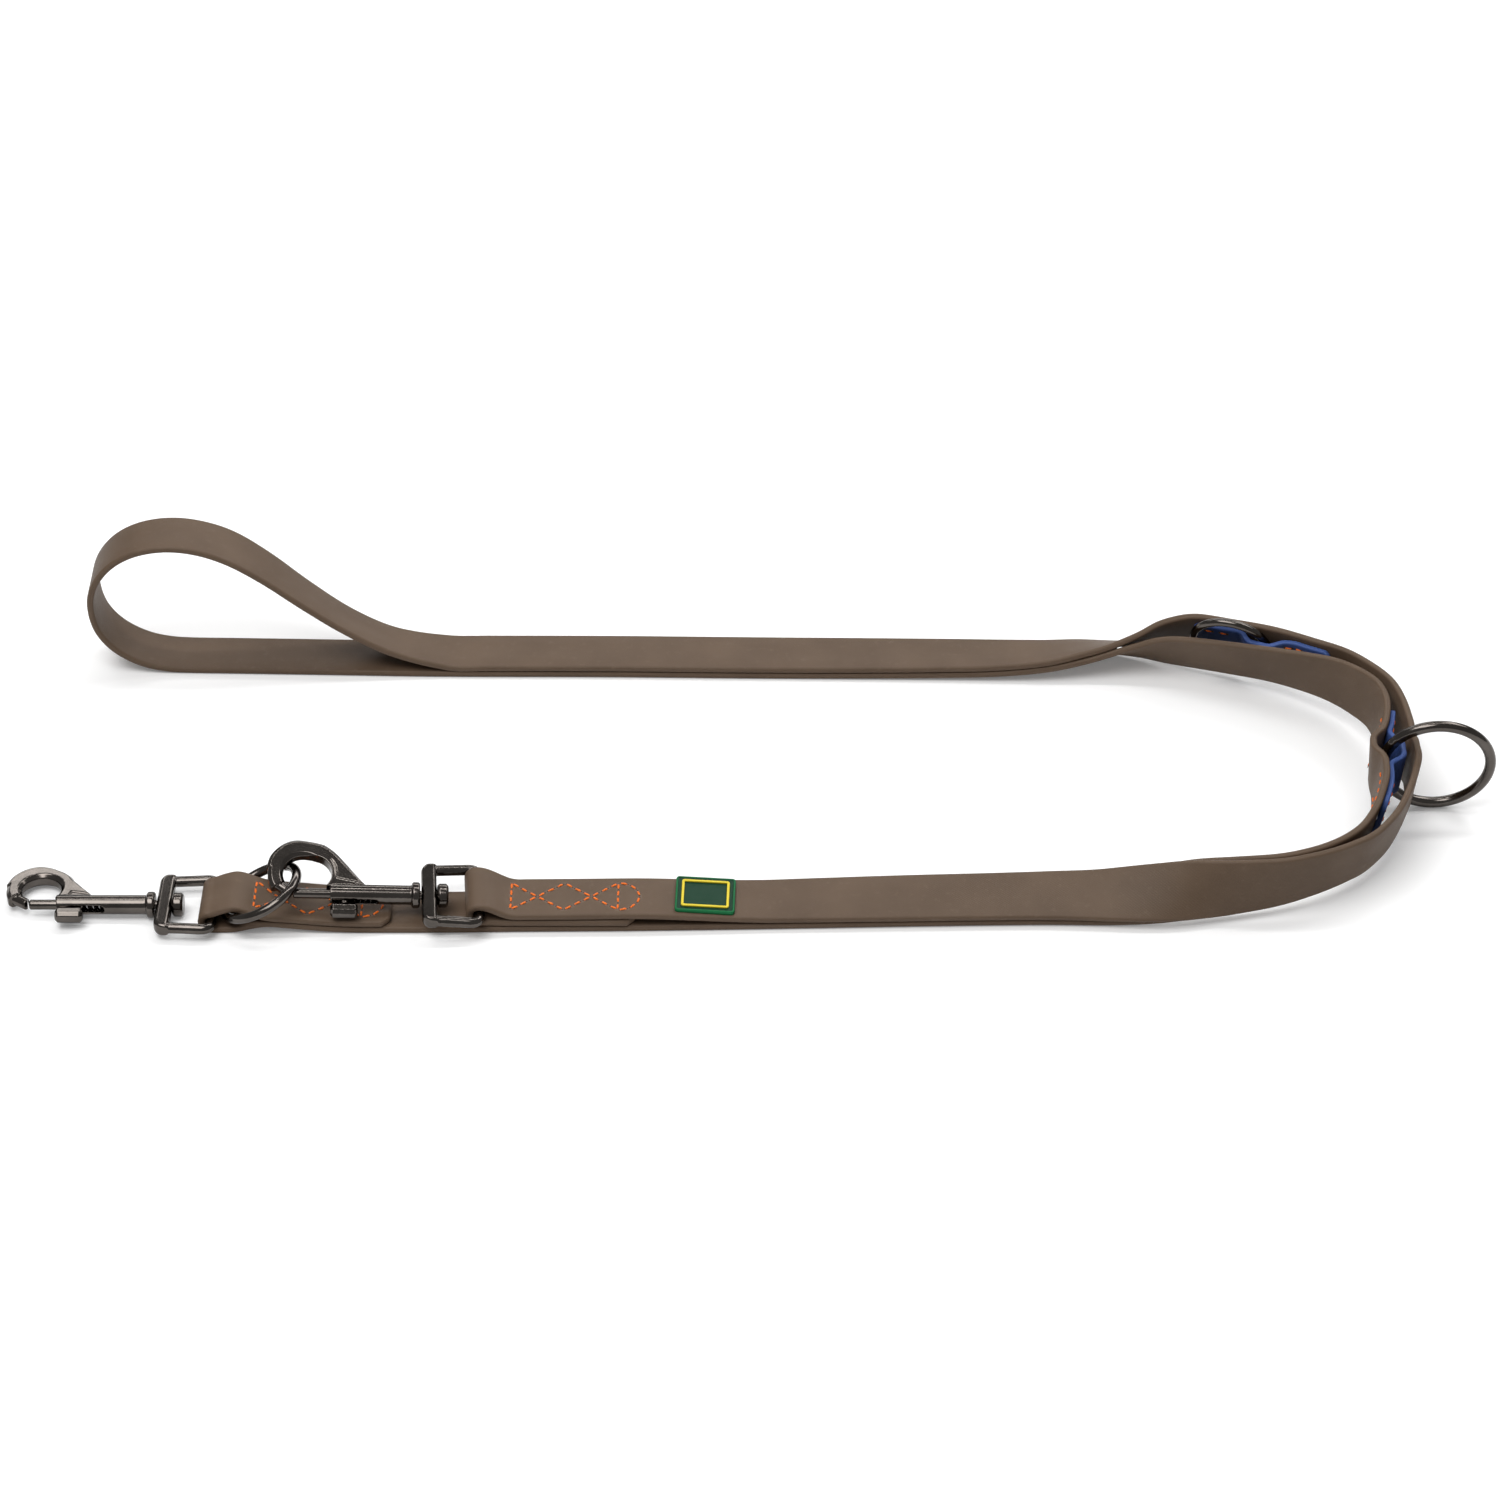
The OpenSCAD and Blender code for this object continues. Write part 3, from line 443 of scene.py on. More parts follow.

# ==== Stitching ===============================================================
# Thick bonded thread in lockstitch. Each end is sewn down in a pattern of a bar,
# two crossings with a diamond between them, a second bar and a half circle.
# Each stitch dives into the strap at its ends, where the needle dents it and the shade in the
# needle hole is painted dark.

stitch_len = 2.6
stitch_step = 3.7
thread_d = 0.72
thread_rise = 0.3
seam_r = 7.0
seam_pitch = 18.0
stitch_random = np.random.default_rng(11)

thread = Finish("orange_thread", Specular_IOR_Level=0.35)
thread_flat = thread.place(uv=True)
thread_fibre = thread.noise(thread_flat, 9.0, 3.0)
thread_strand = (
    thread.node("ShaderNodeSeparateXYZ", {}, {"Vector": thread_flat}, 0) * 7.0
    + thread.node("ShaderNodeSeparateXYZ", {}, {"Vector": thread_flat}, 1) * 5.5
).sine()
thread.feed(
    Base_Color=thread.mix(
        (thread_strand * 0.35 + thread_fibre).ramp(0.1, 1.0),
        colour(228, 92, 14),
        colour(255, 138, 44),
    ),
    Roughness=0.5 + thread_fibre * 0.2,
    Normal=thread.bump(thread_strand * 0.5 + thread_fibre * 0.5, 0.00008),
)
# Needle dents: the strap's colour at the rim, with painted shade of the needle hole growing darker
# towards the middle.
dent = Finish("needle_dent", Specular_IOR_Level=0.3)
dent_painted_shade = dent.node("ShaderNodeAttribute", {"attribute_name": "depth"}, {}, "Fac")
dent.feed(
    Base_Color=dent.mix(dent_painted_shade, colour(112, 94, 80), colour(58, 42, 33)),
    Roughness=0.55 + dent.noise(dent.place(), 2.0) * 0.2,
)


def thread_runs(name, middles, aheads, outs):
    """One short twisted tube a stitch: two strands' outline, radius times
    1 + 0.14 cos 2(angle - turn), turned as it goes, on a low arch whose ends
    dive into the strap. UV: distance along, round."""
    rings, sides = 8, 8
    u = np.linspace(-1, 1, rings)
    angle = np.linspace(0, 2 * np.pi, sides, endpoint=False)
    turn = angle[None] + 0 * u[:, None]
    r = thread_d / 2 * (1 + 0.14 * np.cos(2 * (turn - 2.2 * u[:, None])))
    r = r * (1 - 0.25 * abs(u[:, None]) ** 4)
    lift = (thread_rise - 0.18) * (1 - u**4) - 0.42 * abs(u) ** 5
    count = len(middles)
    slant = stitch_random.normal(0, 0.05, count)
    length = stitch_len * (1 + stitch_random.normal(0, 0.05, count))
    sides_way = np.cross(outs, aheads)
    aheads = unit(aheads + slant[:, None] * sides_way)
    sides_way = np.cross(outs, aheads)
    along = (length / 2)[:, None, None] * u[None, :, None] + 0 * r[None]
    points = (
        middles[:, None, None]
        + along[..., None] * aheads[:, None, None]
        + (r * np.cos(turn))[None, ..., None] * sides_way[:, None, None]
        + (r * np.sin(turn) * 0.8 + lift[:, None])[None, ..., None] * outs[:, None, None]
    )
    quads = grid_faces(rings, sides)
    caps = [list(range(sides - 1, -1, -1)), list(range((rings - 1) * sides, rings * sides))]
    step = rings * sides
    faces = [*(quads[None] + (np.arange(count) * step)[:, None, None]).reshape(-1, 4)]
    for k in range(count):
        faces += [[v + k * step for v in cap] for cap in caps]
    uv = np.stack(np.broadcast_arrays(along, (turn * thread_d / 2)[None]), -1) / 1000
    piece = mesh_piece(name, placed(points), faces, uv, thread.material)
    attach(piece, "leash")
    return piece


def needle_dents(name, middles, aheads, outs):
    """A shallow puckered ring at both ends of each stitch: radius 0.75, 0.5,
    0.25 and 0 mm at heights that rise to a low rim and fall to a middle that
    is painted dark as the shade in the needle hole."""
    sides = 9
    radii = np.array([0.75, 0.5, 0.28, 0.02])
    lift = np.array([0.005, 0.06, 0.035, 0.02])
    a = np.linspace(0, 2 * np.pi, sides, endpoint=False)
    half_stitch = aheads * stitch_len * 0.5
    ends = np.concatenate([middles - half_stitch, middles + half_stitch])
    ahead_2, out_2 = np.tile(aheads, (2, 1)), np.tile(outs, (2, 1))
    side_2 = np.cross(out_2, ahead_2)
    flat = np.cos(a)[:, None] * ahead_2[:, None, None] + np.sin(a)[:, None] * side_2[:, None, None]
    points = ends[:, None, None] + radii[None, :, None, None] * flat
    points = points + lift[None, :, None, None] * out_2[:, None, None]
    step = len(radii) * sides
    quads = grid_faces(len(radii), sides)
    faces = (quads[None] + (np.arange(len(ends)) * step)[:, None, None]).reshape(-1, 4)
    piece = mesh_piece(name, placed(points), faces, None, dent.material)
    # Painted shade of the needle hole: 0 at the rim, 1 in the middle.
    shade = np.broadcast_to(np.array([0, 0.15, 0.8, 1.0])[None, :, None], (len(ends), 4, sides))
    attribute = piece.data.attributes.new("depth", "FLOAT", "POINT")
    attribute.data.foreach_set("value", shade.astype(np.float32).ravel())
    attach(piece, "leash")
    return piece


def end_pattern():
    """Distance, offset and direction of every stitch of the end pattern."""
    r, h, p = seam_r, seam_pitch / 2, seam_pitch
    lines = [[(0, -r), (0, r)], [(2 * p, -r), (2 * p, r)]]
    for x in (0, p):
        lines += [[(x, r), (x + h, 0)], [(x, -r), (x + h, 0)]]
        lines += [[(x + h, 0), (x + p, r)], [(x + h, 0), (x + p, -r)]]
    rows = []
    for a, b in np.array(lines, float):
        n = max(round(np.linalg.norm(b - a) / stitch_step), 1)
        rows += [[*between(a, b, (k + 0.5) / n), *unit(b - a)] for k in range(n)]
    arc = np.radians(90 - 180 * (np.arange(6) + 0.5) / 6)
    half = [2 * p + r * np.cos(arc), r * np.sin(arc), np.sin(arc), -np.cos(arc)]
    return np.vstack([rows, np.stack(half, 1)])


def end_seam(name, node, x0, y0, heights):
    """The pattern laid on a strap top, whose middle height is given by heights."""
    rows = end_pattern()
    order = np.argsort(heights[:, 0])
    hx, hz = heights[order, 0], heights[order, 1]
    x = x0 + rows[:, 0]
    slope = (np.interp(x + 1, hx, hz) - np.interp(x - 1, hx, hz)) / 2
    outs = unit(np.stack([-slope, 0 * x, 0 * x + 1], 1))
    aheads = unit(np.stack([rows[:, 2], rows[:, 3], rows[:, 2] * slope], 1))
    tops = np.stack([x, y0 + rows[:, 1], np.interp(x, hx, hz)], 1) + outs * strap_t / 2
    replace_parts(thread_runs(name, tops, aheads, outs), node)
    needle_dents(name + "_dents", tops, aheads, outs)


upper_heights = np.vstack([rear_branch(1), upper_layer[-20:, [0, 2]]])
end_seam("front_end_stitches", "end_seam_front", -165.5, front_y, front_upper)
end_seam("rear_end_stitches", "end_seam_rear", -80.0, rear_y, upper_heights)

# ==== Label ===================================================================
# A soft rubber patch moulded in two colours and glued on the strap: a dark green
# plate with a pale rim and a raised yellow frame. Its field is left bare.

label_at = [-15.0, -90.0]
label_l, label_w, label_t = 20.0, 17.6, 1.4
label_turn = np.radians(-1.5)
label_field_inset, frame_h = 2.0, 0.35


def plate_rings(l, w, corner, insets, lifts, n=9):
    """Rings of a rounded rectangle plate: each ring is inset from l by w and
    lifted; its corners are arcs whose radius shrinks with the inset."""
    a = np.linspace(0, np.pi / 2, n)
    rings = []
    for inset, lift in zip(insets, lifts):
        r = max(corner - inset, 0.12)
        ring = []
        for k, (sx, sy) in enumerate([(1, 1), (-1, 1), (-1, -1), (1, -1)]):
            turn = a + k * np.pi / 2
            middle = [sx * (l / 2 - inset - r), sy * (w / 2 - inset - r)]
            ring.append(middle + r * np.stack([np.cos(turn), np.sin(turn)], 1))
        ring = np.vstack(ring)
        rings.append(np.column_stack([ring, np.full(len(ring), lift)]))
    return np.array(rings)


label_x = np.array([label_at[0] - 8, label_at[0], label_at[0] + 8])
upper_order = np.argsort(upper_heights[:, 0])
label_z = np.interp(label_x, upper_heights[upper_order, 0], upper_heights[upper_order, 1])
label_pitch = np.arctan((label_z[0] - label_z[2]) / 16)


def on_label(points):
    """Label coordinates (along, across, off the strap) to layout millimetres:
    rolled 1 degree and pitched with the strap, then turned and moved."""
    c, s = np.cos(np.radians(1)), np.sin(np.radians(1))
    roll_1 = np.array([[1, 0, 0], [0, c, -s], [0, s, c]])
    c, s = np.cos(label_pitch), np.sin(label_pitch)
    pitch = np.array([[c, 0, s], [0, 1, 0], [-s, 0, c]])
    c, s = np.cos(label_turn), np.sin(label_turn)
    turn = np.array([[c, -s, 0], [s, c, 0], [0, 0, 1]])
    lifted = points + np.array([0, 0, strap_t / 2 - 0.05])
    return lifted @ (turn @ pitch @ roll_1).T + [*label_at, label_z[1]]


rubber = Finish("green_label_rubber", Specular_IOR_Level=0.22)
rubber_place = rubber.place()
rubber_grain = rubber.noise(rubber_place, 4.0, 3.0)
rubber_field = rubber.node("ShaderNodeAttribute", {"attribute_name": "field"}, {}, "Fac")
rubber_tone = rubber.mix(rubber_grain.ramp(0.3, 0.7), colour(4, 48, 30), colour(6, 58, 37))
rubber_edge = rubber.mix(rubber_grain.ramp(0.3, 0.7), colour(10, 96, 54), colour(16, 110, 62))
rubber.feed(
    Base_Color=rubber.mix(rubber_field, rubber_edge, rubber_tone),
    Roughness=0.42 + rubber_grain * 0.16,
    Normal=rubber.bump(rubber_grain, 0.00006),
)
plate_insets = [0, 0, 0.02, 0.12, 0.32, 0.55, 0.75, 0.8, 1.0, 1.9]
plate_lifts = [0, 0.6, 1.0, 1.28, 1.4, 1.38, 1.28, 1.16, 1.12, 1.12]
plate = plate_rings(label_l, label_w, 1.2, plate_insets, plate_lifts)
plate_n = plate.shape[1]
label_plate = mesh_piece(
    "label_plate",
    placed(on_label(plate.reshape(-1, 3))),
    [
        *grid_faces(len(plate), plate_n),
        range(plate_n - 1, -1, -1),
        range((len(plate) - 1) * plate_n, len(plate) * plate_n),
    ],
    None,
    rubber.material,
)
field_share = np.repeat([0, 0, 0, 0, 0, 0.1, 0.6, 1, 1, 1], plate_n).astype(np.float32)
label_plate.data.attributes.new("field", "FLOAT", "POINT").data.foreach_set("value", field_share)
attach(label_plate, "leash")
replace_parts(label_plate, "label_patch")

yellow = Finish("yellow_label_rubber", Specular_IOR_Level=0.45)
yellow_grain = yellow.noise(yellow.place(), 5.0, 3.0)
yellow.feed(
    Base_Color=yellow.mix(yellow_grain.ramp(0.3, 0.7), colour(214, 190, 30), colour(236, 214, 52)),
    Roughness=0.42 + yellow_grain * 0.2,
    Normal=yellow.bump(yellow_grain, 0.00005),
)
frame_insets = label_field_inset + np.array([0, 0.02, 0.12, 0.3, 0.6, 0.78, 0.88, 0.9])
frame_lifts = label_t + np.array([-0.35, 0.2, 0.33, frame_h, frame_h, 0.33, 0.2, -0.35])
border = plate_rings(label_l, label_w, 2.9, frame_insets, frame_lifts)
border_n = border.shape[1]
border_faces = grid_faces(len(border), border_n)
closing = np.arange(border_n)
last_ring = (len(border) - 1) * border_n
closing_next = (closing + 1) % border_n
inner_wall = np.stack(
    [last_ring + closing, last_ring + closing_next, closing_next, closing], 1
)
label_frame = mesh_piece(
    "label_frame",
    placed(on_label(border.reshape(-1, 3))),
    np.vstack([border_faces, inner_wall]),
    None,
    yellow.material,
)
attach(label_frame, "leash")
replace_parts(label_frame, "label_border")

# ==== Ring tabs ===============================================================
# Two short pieces of blue coated webbing, sewn flat along the strap on both
# sides of a ring's wire, with a loose hump over the wire between the seams.

tab_w, tab_t = 16.0, 1.9
sewn_gap = 0.08
ring_play = 0.15
big_ring_r, big_wire_d = 18.4, 3.8
small_ring_r, inner_wire_d = 13.6, 2.9


def ring_sag(r):
    """How far a ring of radius r bows within the width of a tab."""
    return r - np.sqrt(r**2 - (tab_w / 2) ** 2)


big_yaw, big_lean = np.radians(-2), np.radians(8)
big_rest_z = big_ring_r * np.cos(big_lean) + big_wire_d / 2
ring_layer_x = 215
big_channel_x = ring_layer_x - ring_dip + strap_t / 2 + ring_play + big_wire_d / 2
big_channel = np.array([big_channel_x, ring_y, big_rest_z])
big_centre = big_channel + big_ring_r * np.array([np.cos(big_yaw), np.sin(big_yaw), 0])
inner_at, inner_off, inner_lift = 48, 5.2, 1.2
inner_along = unit(np.cross(outward[inner_at], across[inner_at]))
inner_middle = lower_layer[inner_at] + outward[inner_at] * (strap_t / 2 + inner_off)
inner_middle = inner_middle + across[inner_at] * inner_lift
inner_channel = inner_middle + inner_along * small_ring_r


def tab_path(layer, first, last, side, hump_at, flat, ramp, rise):
    """Stations of a tab on one side of a layer, lifted over the wire: the hump is
    rise high within flat of its middle and eases down over ramp."""
    i = np.arange(first, last + 1)
    forward = unit(layer[i + 1] - layer[i - 1])
    d = np.sum((layer[i] - hump_at) * forward, axis=1)
    lift = rise * ease((flat + ramp - abs(d)) / ramp)
    off = side * (strap_t / 2 + tab_t / 2 + sewn_gap + lift)
    return stations(layer[i] + outward[i] * off[:, None], across[i])


outer_tab_first, outer_tab_last, outer_slack = 73, 97, 1
outer_hump = (3, 7, big_wire_d + ring_sag(big_ring_r) + 2 * ring_play - ring_dip + outer_slack)
outer_tab = tab_path(base_layer, outer_tab_first, outer_tab_last, 1, big_channel, *outer_hump)
inner_tab_first, inner_tab_last, inner_slack = 44, 58, 0.7
inner_hump_at = inner_channel - inner_along * ring_sag(small_ring_r) / 2
inner_hump = (3.2, 6.5, inner_wire_d + 2 * ring_play + inner_slack)
inner_tab = tab_path(upper_layer, inner_tab_first, inner_tab_last, -1, inner_hump_at, *inner_hump)

tab_finish = coated_webbing(
    "blue_coated_webbing", colour(70, 96, 156), colour(108, 132, 184), colour(56, 78, 136), 0.00016
)
for name, path, node in (
    ("outer_tab_band", outer_tab, "outer_ring_tab"),
    ("inner_tab_band", inner_tab, "inner_ring_tab"),
):
    tab_band = band(name, path, tab_w, tab_t, 0.75, 1.9, tab_finish)
    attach(tab_band, "leash")
    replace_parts(tab_band, node)


seam_offset = 5.5


def tab_seam(name, node, layer, first, tab, spans, side):
    """Two rows of stitches along each sewn span, on the tab's face and through
    on the strap's far face."""
    rows = []
    for start, end in spans:
        n = int(np.linalg.norm(tab[end, :3] - tab[start, :3]) / stitch_step)
        place = between(start, end, (np.arange(n) + 0.5) / n)
        i = np.floor(place).astype(int)
        u = (place - i)[:, None]
        on_tab = between(tab[i], tab[i + 1], u)
        forward = unit(tab[i + 1, :3] - tab[i, :3])
        j = i + first
        on_layer = between(layer[j], layer[j + 1], u)
        layer_forward = unit(layer[j + 1] - layer[j])
        wide = unit(on_tab[:, 3:])
        out = unit(np.cross(wide, forward))
        out *= side * np.sign(np.sum(out * outward[j], axis=1))[:, None]
        far = unit(np.cross(wide, layer_forward))
        far *= -side * np.sign(np.sum(far * outward[j], axis=1))[:, None]
        for offset in (-seam_offset, seam_offset):
            near_face = on_tab[:, :3] + wide * offset + out * tab_t / 2
            far_face = on_layer + wide * offset + far * strap_t / 2
            rows.append(np.hstack([near_face, forward, out]))
            rows.append(np.hstack([far_face, layer_forward, far]))
    rows = np.vstack(rows)
    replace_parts(thread_runs(name, rows[:, :3], rows[:, 3:6], rows[:, 6:]), node)
    needle_dents(name + "_dents", rows[:, :3], rows[:, 3:6], rows[:, 6:])


tab_seam("outer_tab_stitches", "outer_tab_seam", lower_layer, outer_tab_first, outer_tab,
         [(1, 8), (17, 23)], 1)  # fmt: skip
tab_seam("inner_tab_stitches", "inner_tab_seam", upper_layer, inner_tab_first, inner_tab,
         [(1, 4), (9, 13)], -1)  # fmt: skip

# ==== Rings ===================================================================
# Round steel wire bent to a ring, butt-welded and ground, then plated in glossy
# black nickel. The weld is a slightly thicker, flatter spot.

plated = Finish("black_nickel", Metallic=1.0)
plated_place = plated.place()
plated_cloud = plated.noise(plated_place, 0.12, 3.0)
plated_scratch = plated.noise(plated.place(scale=(300, 6000, 3000), turn=(0.3, 0.2, 0.5)), 1.0, 2.0)
plated_speck = plated.noise(plated_place, 3.0, 4.0, 0.7)
plated.feed(
    Base_Color=plated.mix(
        plated_cloud.ramp(0.3, 0.7), (0.088, 0.078, 0.07, 1), (0.12, 0.107, 0.097, 1)
    ),
    Roughness=0.1 + plated_speck * 0.1 + plated_scratch.ramp(0.6, 0.8) * 0.08,
    Normal=plated.bump(plated_speck * 0.7 + plated_scratch * 0.3, 0.000008),
)


def turned(angles):
    """The matrix that turns by angles (x, y, z), in degrees, in that order."""
    made = np.eye(3)
    for axis, angle in enumerate(np.radians(angles)):
        i, k = [(1, 2), (2, 0), (0, 1)][axis]
        m = np.eye(3)
        m[i, i] = m[k, k] = np.cos(angle)
        m[i, k], m[k, i] = -np.sin(angle), np.sin(angle)
        made = m @ made
    return made


def wire_ring(name, node, body, centre, axes, r, wire_d, weld_at):
    """A torus, (r + w cos b) from the axis and w sin b along it, whose wire
    radius w swells by 4% and then flattens at the weld's angle."""
    round_ring, round_wire = 144, 32
    a = np.linspace(0, 2 * np.pi, round_ring, endpoint=False)[:, None]
    b = np.linspace(0, 2 * np.pi, round_wire, endpoint=False)[None]
    off = np.degrees(abs(np.angle(np.exp(1j * (a - weld_at))))) * np.pi / 180 * r
    swell = 0.04 * np.exp(-((off - 1.3) ** 2) / 0.25) - 0.02 * np.exp(-(off**2) / 0.6)
    w = wire_d / 2 * (1 + swell)
    reach = r + w * np.cos(b)
    ring = np.stack([reach * np.cos(a), reach * np.sin(a), w * np.sin(b) + 0 * a], -1)
    points = ring.reshape(-1, 3) @ axes.T + centre
    i, k = np.meshgrid(np.arange(round_ring), np.arange(round_wire), indexing="ij")
    here, ahead_row = i * round_wire, (i + 1) % round_ring * round_wire
    beside = (k + 1) % round_wire
    faces = np.stack([here + k, ahead_row + k, ahead_row + beside, here + beside], -1)
    faces = faces.reshape(-1, 4)
    piece = mesh_piece(name, placed(points), faces, None, plated.material)
    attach(piece, body)
    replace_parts(piece, node)


big_axes = turned([0, 0, -2]) @ turned([98, 0, 0])
wire_ring("outer_ring_wire", "outer_ring", "outer_ring", big_centre, big_axes, big_ring_r,
          big_wire_d, 2.5)  # fmt: skip
inner_axes = np.stack([across[inner_at], inner_along, outward[inner_at]], 1)
inner_axes = inner_axes @ turned([5.6, 0, 0]) @ turned([0, -1.3, 0])
inner_ring_at = inner_channel - inner_axes[:, 1] * small_ring_r
wire_ring("inner_ring_wire", "inner_ring", "inner_ring", inner_ring_at, inner_axes, small_ring_r,
          inner_wire_d, 4.0)  # fmt: skip
wire_ring("end_ring_wire", "end_ring", "end_ring", np.array([-163, -92.4, 10.3]),
          turned([-5.5, -26, 0]), small_ring_r, 3.3, 1.0)  # fmt: skip

# ==== Swivel clips ============================================================
# Zinc die castings plated like the rings, with soft edges: a round bent bail with
# a wide crossbar, a riveted swivel, and a hook with a broad shoulder round its eye
# and a spring in its barrel that pushes the steel bolt shut.


def cast(name, node, body, grain, passes, mesh=None, hole=None):
    """A casting made of a CAD node's mesh, or of another mesh in its place: loose
    triangles are joined, the solid is rebuilt in cells of grain millimetres and
    smoothed passes times, and the object hole is bored out of it."""
    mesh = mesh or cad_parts[node].data.copy()
    piece = bpy.data.objects.new(name, mesh)
    bpy.context.scene.collection.objects.link(piece)
    weld = piece.modifiers.new("joined", "WELD")
    weld.merge_threshold = 2e-6
    cells = piece.modifiers.new("cells", "REMESH")
    cells.mode, cells.voxel_size, cells.use_smooth_shade = "VOXEL", grain / 1000, True
    soft = piece.modifiers.new("soft", "SMOOTH")
    soft.factor, soft.iterations = 0.5, passes
    if hole:
        bore = piece.modifiers.new("bore", "BOOLEAN")
        bore.operation, bore.object = "DIFFERENCE", hole
    evaluated = piece.evaluated_get(bpy.context.evaluated_depsgraph_get())
    finished = bpy.data.meshes.new_from_object(evaluated)
    piece.modifiers.clear()
    piece.data = finished
    bpy.data.meshes.remove(mesh)
    finished.polygons.foreach_set("use_smooth", np.full(len(finished.polygons), True))
    finished.materials.clear()
    finished.materials.append(plated.material)
    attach(piece, body)
    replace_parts(piece, node)


bail_y, bail_far = 13.05, 12.05
crossbar_x, crossbar_w, crossbar_h = -16.35, 5.2, 4.8
bail_bend, crossbar_corner, crossbar_over = 3.3, 3.6, 0.15
tip_len, tip_thinner = 1.2, 0.35
clip_places = {
    "front": (np.eye(3), np.array([front_eye[0], front_y, front_eye[1]])),
    "rear": (turned([4, 4.9, 4.5]), np.array([rear_eye[0], rear_y, rear_eye[1]])),
}


def bail_path():
    """The bail's wire seen from above: arm, strap bar and arm, and at each of the
    two corners the curve (1-u)^2 a + 2u(1-u) corner + u^2 b between points bail_bend
    away from it on both sides."""
    ends = np.array([[crossbar_x, -bail_far], [0, -bail_y], [0, bail_y], [crossbar_x, bail_far]])
    u = np.linspace(0, 1, 9)[:, None]
    points = [ends[:1]]
    for before, corner, after in zip(ends, ends[1:], ends[2:]):
        a = corner + unit(before - corner) * bail_bend
        b = corner + unit(after - corner) * bail_bend
        points.append((1 - u) ** 2 * a + 2 * u * (1 - u) * corner + u**2 * b)
    return np.pad(np.vstack([*points, ends[-1:]]), ((0, 0), (0, 1)))


def bail_mesh(name, turn, at):
    """The bent wire, round, and the crossbar, a rounded section whose back edge
    comes in by c - sqrt(c^2 - (c - d)^2) where it is d < c from its ends."""
    wire = bail_path()
    wide = np.array([0, 0, 1.0])
    face = unit(np.cross(differences(wire), wide))
    section = rounded_section(bail_wire_d, bail_wire_d, bail_wire_d / 2 - 0.02, 7)
    round_wire = wire[:, None] + section[None, :, :1] * wide + section[None, :, 1:] * face[:, None]
    half = bail_far + bail_wire_d / 2 + crossbar_over
    y = half * np.sin(np.linspace(-np.pi / 2, np.pi / 2, 41))
    near = np.clip(crossbar_corner - (half - abs(y)), 0, None)
    cut = crossbar_corner - np.sqrt(crossbar_corner**2 - near**2)
    x, z = rounded_section(crossbar_w, crossbar_h, 1.6, 7).T
    front = crossbar_x + crossbar_w / 2
    x = front - (crossbar_w / 2 - x[None]) * (1 - cut / crossbar_w)[:, None]
    tip = 1 - tip_thinner * np.clip((abs(y) - half + tip_len) / tip_len, 0, 1) ** 2
    parts = [round_wire, np.stack(np.broadcast_arrays(x, y[:, None], z * tip[:, None]), -1)]
    points, faces, first = [], [], 0
    for grid in parts:
        rows, n = grid.shape[:2]
        points.append(grid.reshape(-1, 3))
        caps = [range(n - 1, -1, -1), range((rows - 1) * n, rows * n)]
        faces += [[v + first for v in f] for f in [*grid_faces(rows, n), *caps]]
        first += rows * n
    mesh = bpy.data.meshes.new(name)
    mesh.from_pydata(placed(np.vstack(points) @ turn.T + at), [], faces)
    return mesh


eye_x, eye_y, eye_inner, hook_t = -58.3, 6.6, 8.4, 5
# The hook's shoulder round the eye and down to the barrel: offsets from the eye.
shoulder_line = [
    [-12.1, 2.5], [-10.9, 6.6], [-8.3, 9.9], [-4.9, 12.1], [-1.2, 12.7], [3.2, 11.5],
    [7.4, 8.5], [11, 4.4], [14.4, 0.2], [17.6, -3.6],
]  # fmt: skip


def hook_mesh(clip, stretch, turn):
    """The CAD hook with the shoulder that the casting has: a plate between a
    circle round the eye and a curve outside it, with bevels of 1.1 mm."""
    outer = smooth(shoulder_line, 5)
    inner = unit(outer) * eye_inner
    bevel, half = 1.1, hook_t / 2
    edge = unit(outer) * bevel
    shift = np.clip(outer[:, :1] / 4, 0, 1) * [[stretch, 0]]
    inner, outer = inner + shift, outer + shift
    levels = [(inner, half), (outer - edge, half), (outer, half - bevel), (outer, bevel - half),
              (outer - edge, -half), (inner, -half)]  # fmt: skip
    grid = [np.column_stack([line + [eye_x, eye_y], np.full(len(line), z)]) for line, z in levels]
    points = np.stack(grid, 1)
    rows, n = points.shape[:2]
    faces = [*grid_faces(rows, n), range(n - 1, -1, -1), range((rows - 1) * n, rows * n)]
    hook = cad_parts[f"{clip}_clip_hook"].data
    corners = np.zeros(len(hook.vertices) * 3)
    hook.vertices.foreach_get("co", corners)
    triangles = np.zeros(len(hook.loops), np.int32)
    hook.loops.foreach_get("vertex_index", triangles)
    first = len(hook.vertices)
    shoulder = placed(points.reshape(-1, 3) @ turn.T + clip_places[clip][1])
    mesh = bpy.data.meshes.new(f"{clip}_hook_form")
    faces = triangles.reshape(-1, 3).tolist() + [[int(v) + first for v in f] for f in faces]
    mesh.from_pydata(np.vstack([corners.reshape(-1, 3), shoulder]), [], faces)
    return mesh


rivet_bore_r, bore_reach = 1.55, 6.0


def bore_rod(name, turn, at):
    """A rod along the clip, of the rivet bore's radius, right through the crossbar."""
    sides = 48
    a = np.linspace(0, 2 * np.pi, sides, endpoint=False)
    ring = rivet_bore_r * np.stack([0 * a, np.cos(a), np.sin(a)], 1)
    reach = np.array([bore_reach, 0, 0])
    ends = np.vstack([ring - reach, ring + reach]) + [crossbar_x, 0, 0]
    faces = [*grid_faces(2, sides), range(sides - 1, -1, -1), range(sides, 2 * sides)]
    return mesh_piece(name, placed(ends @ turn.T + at), faces)


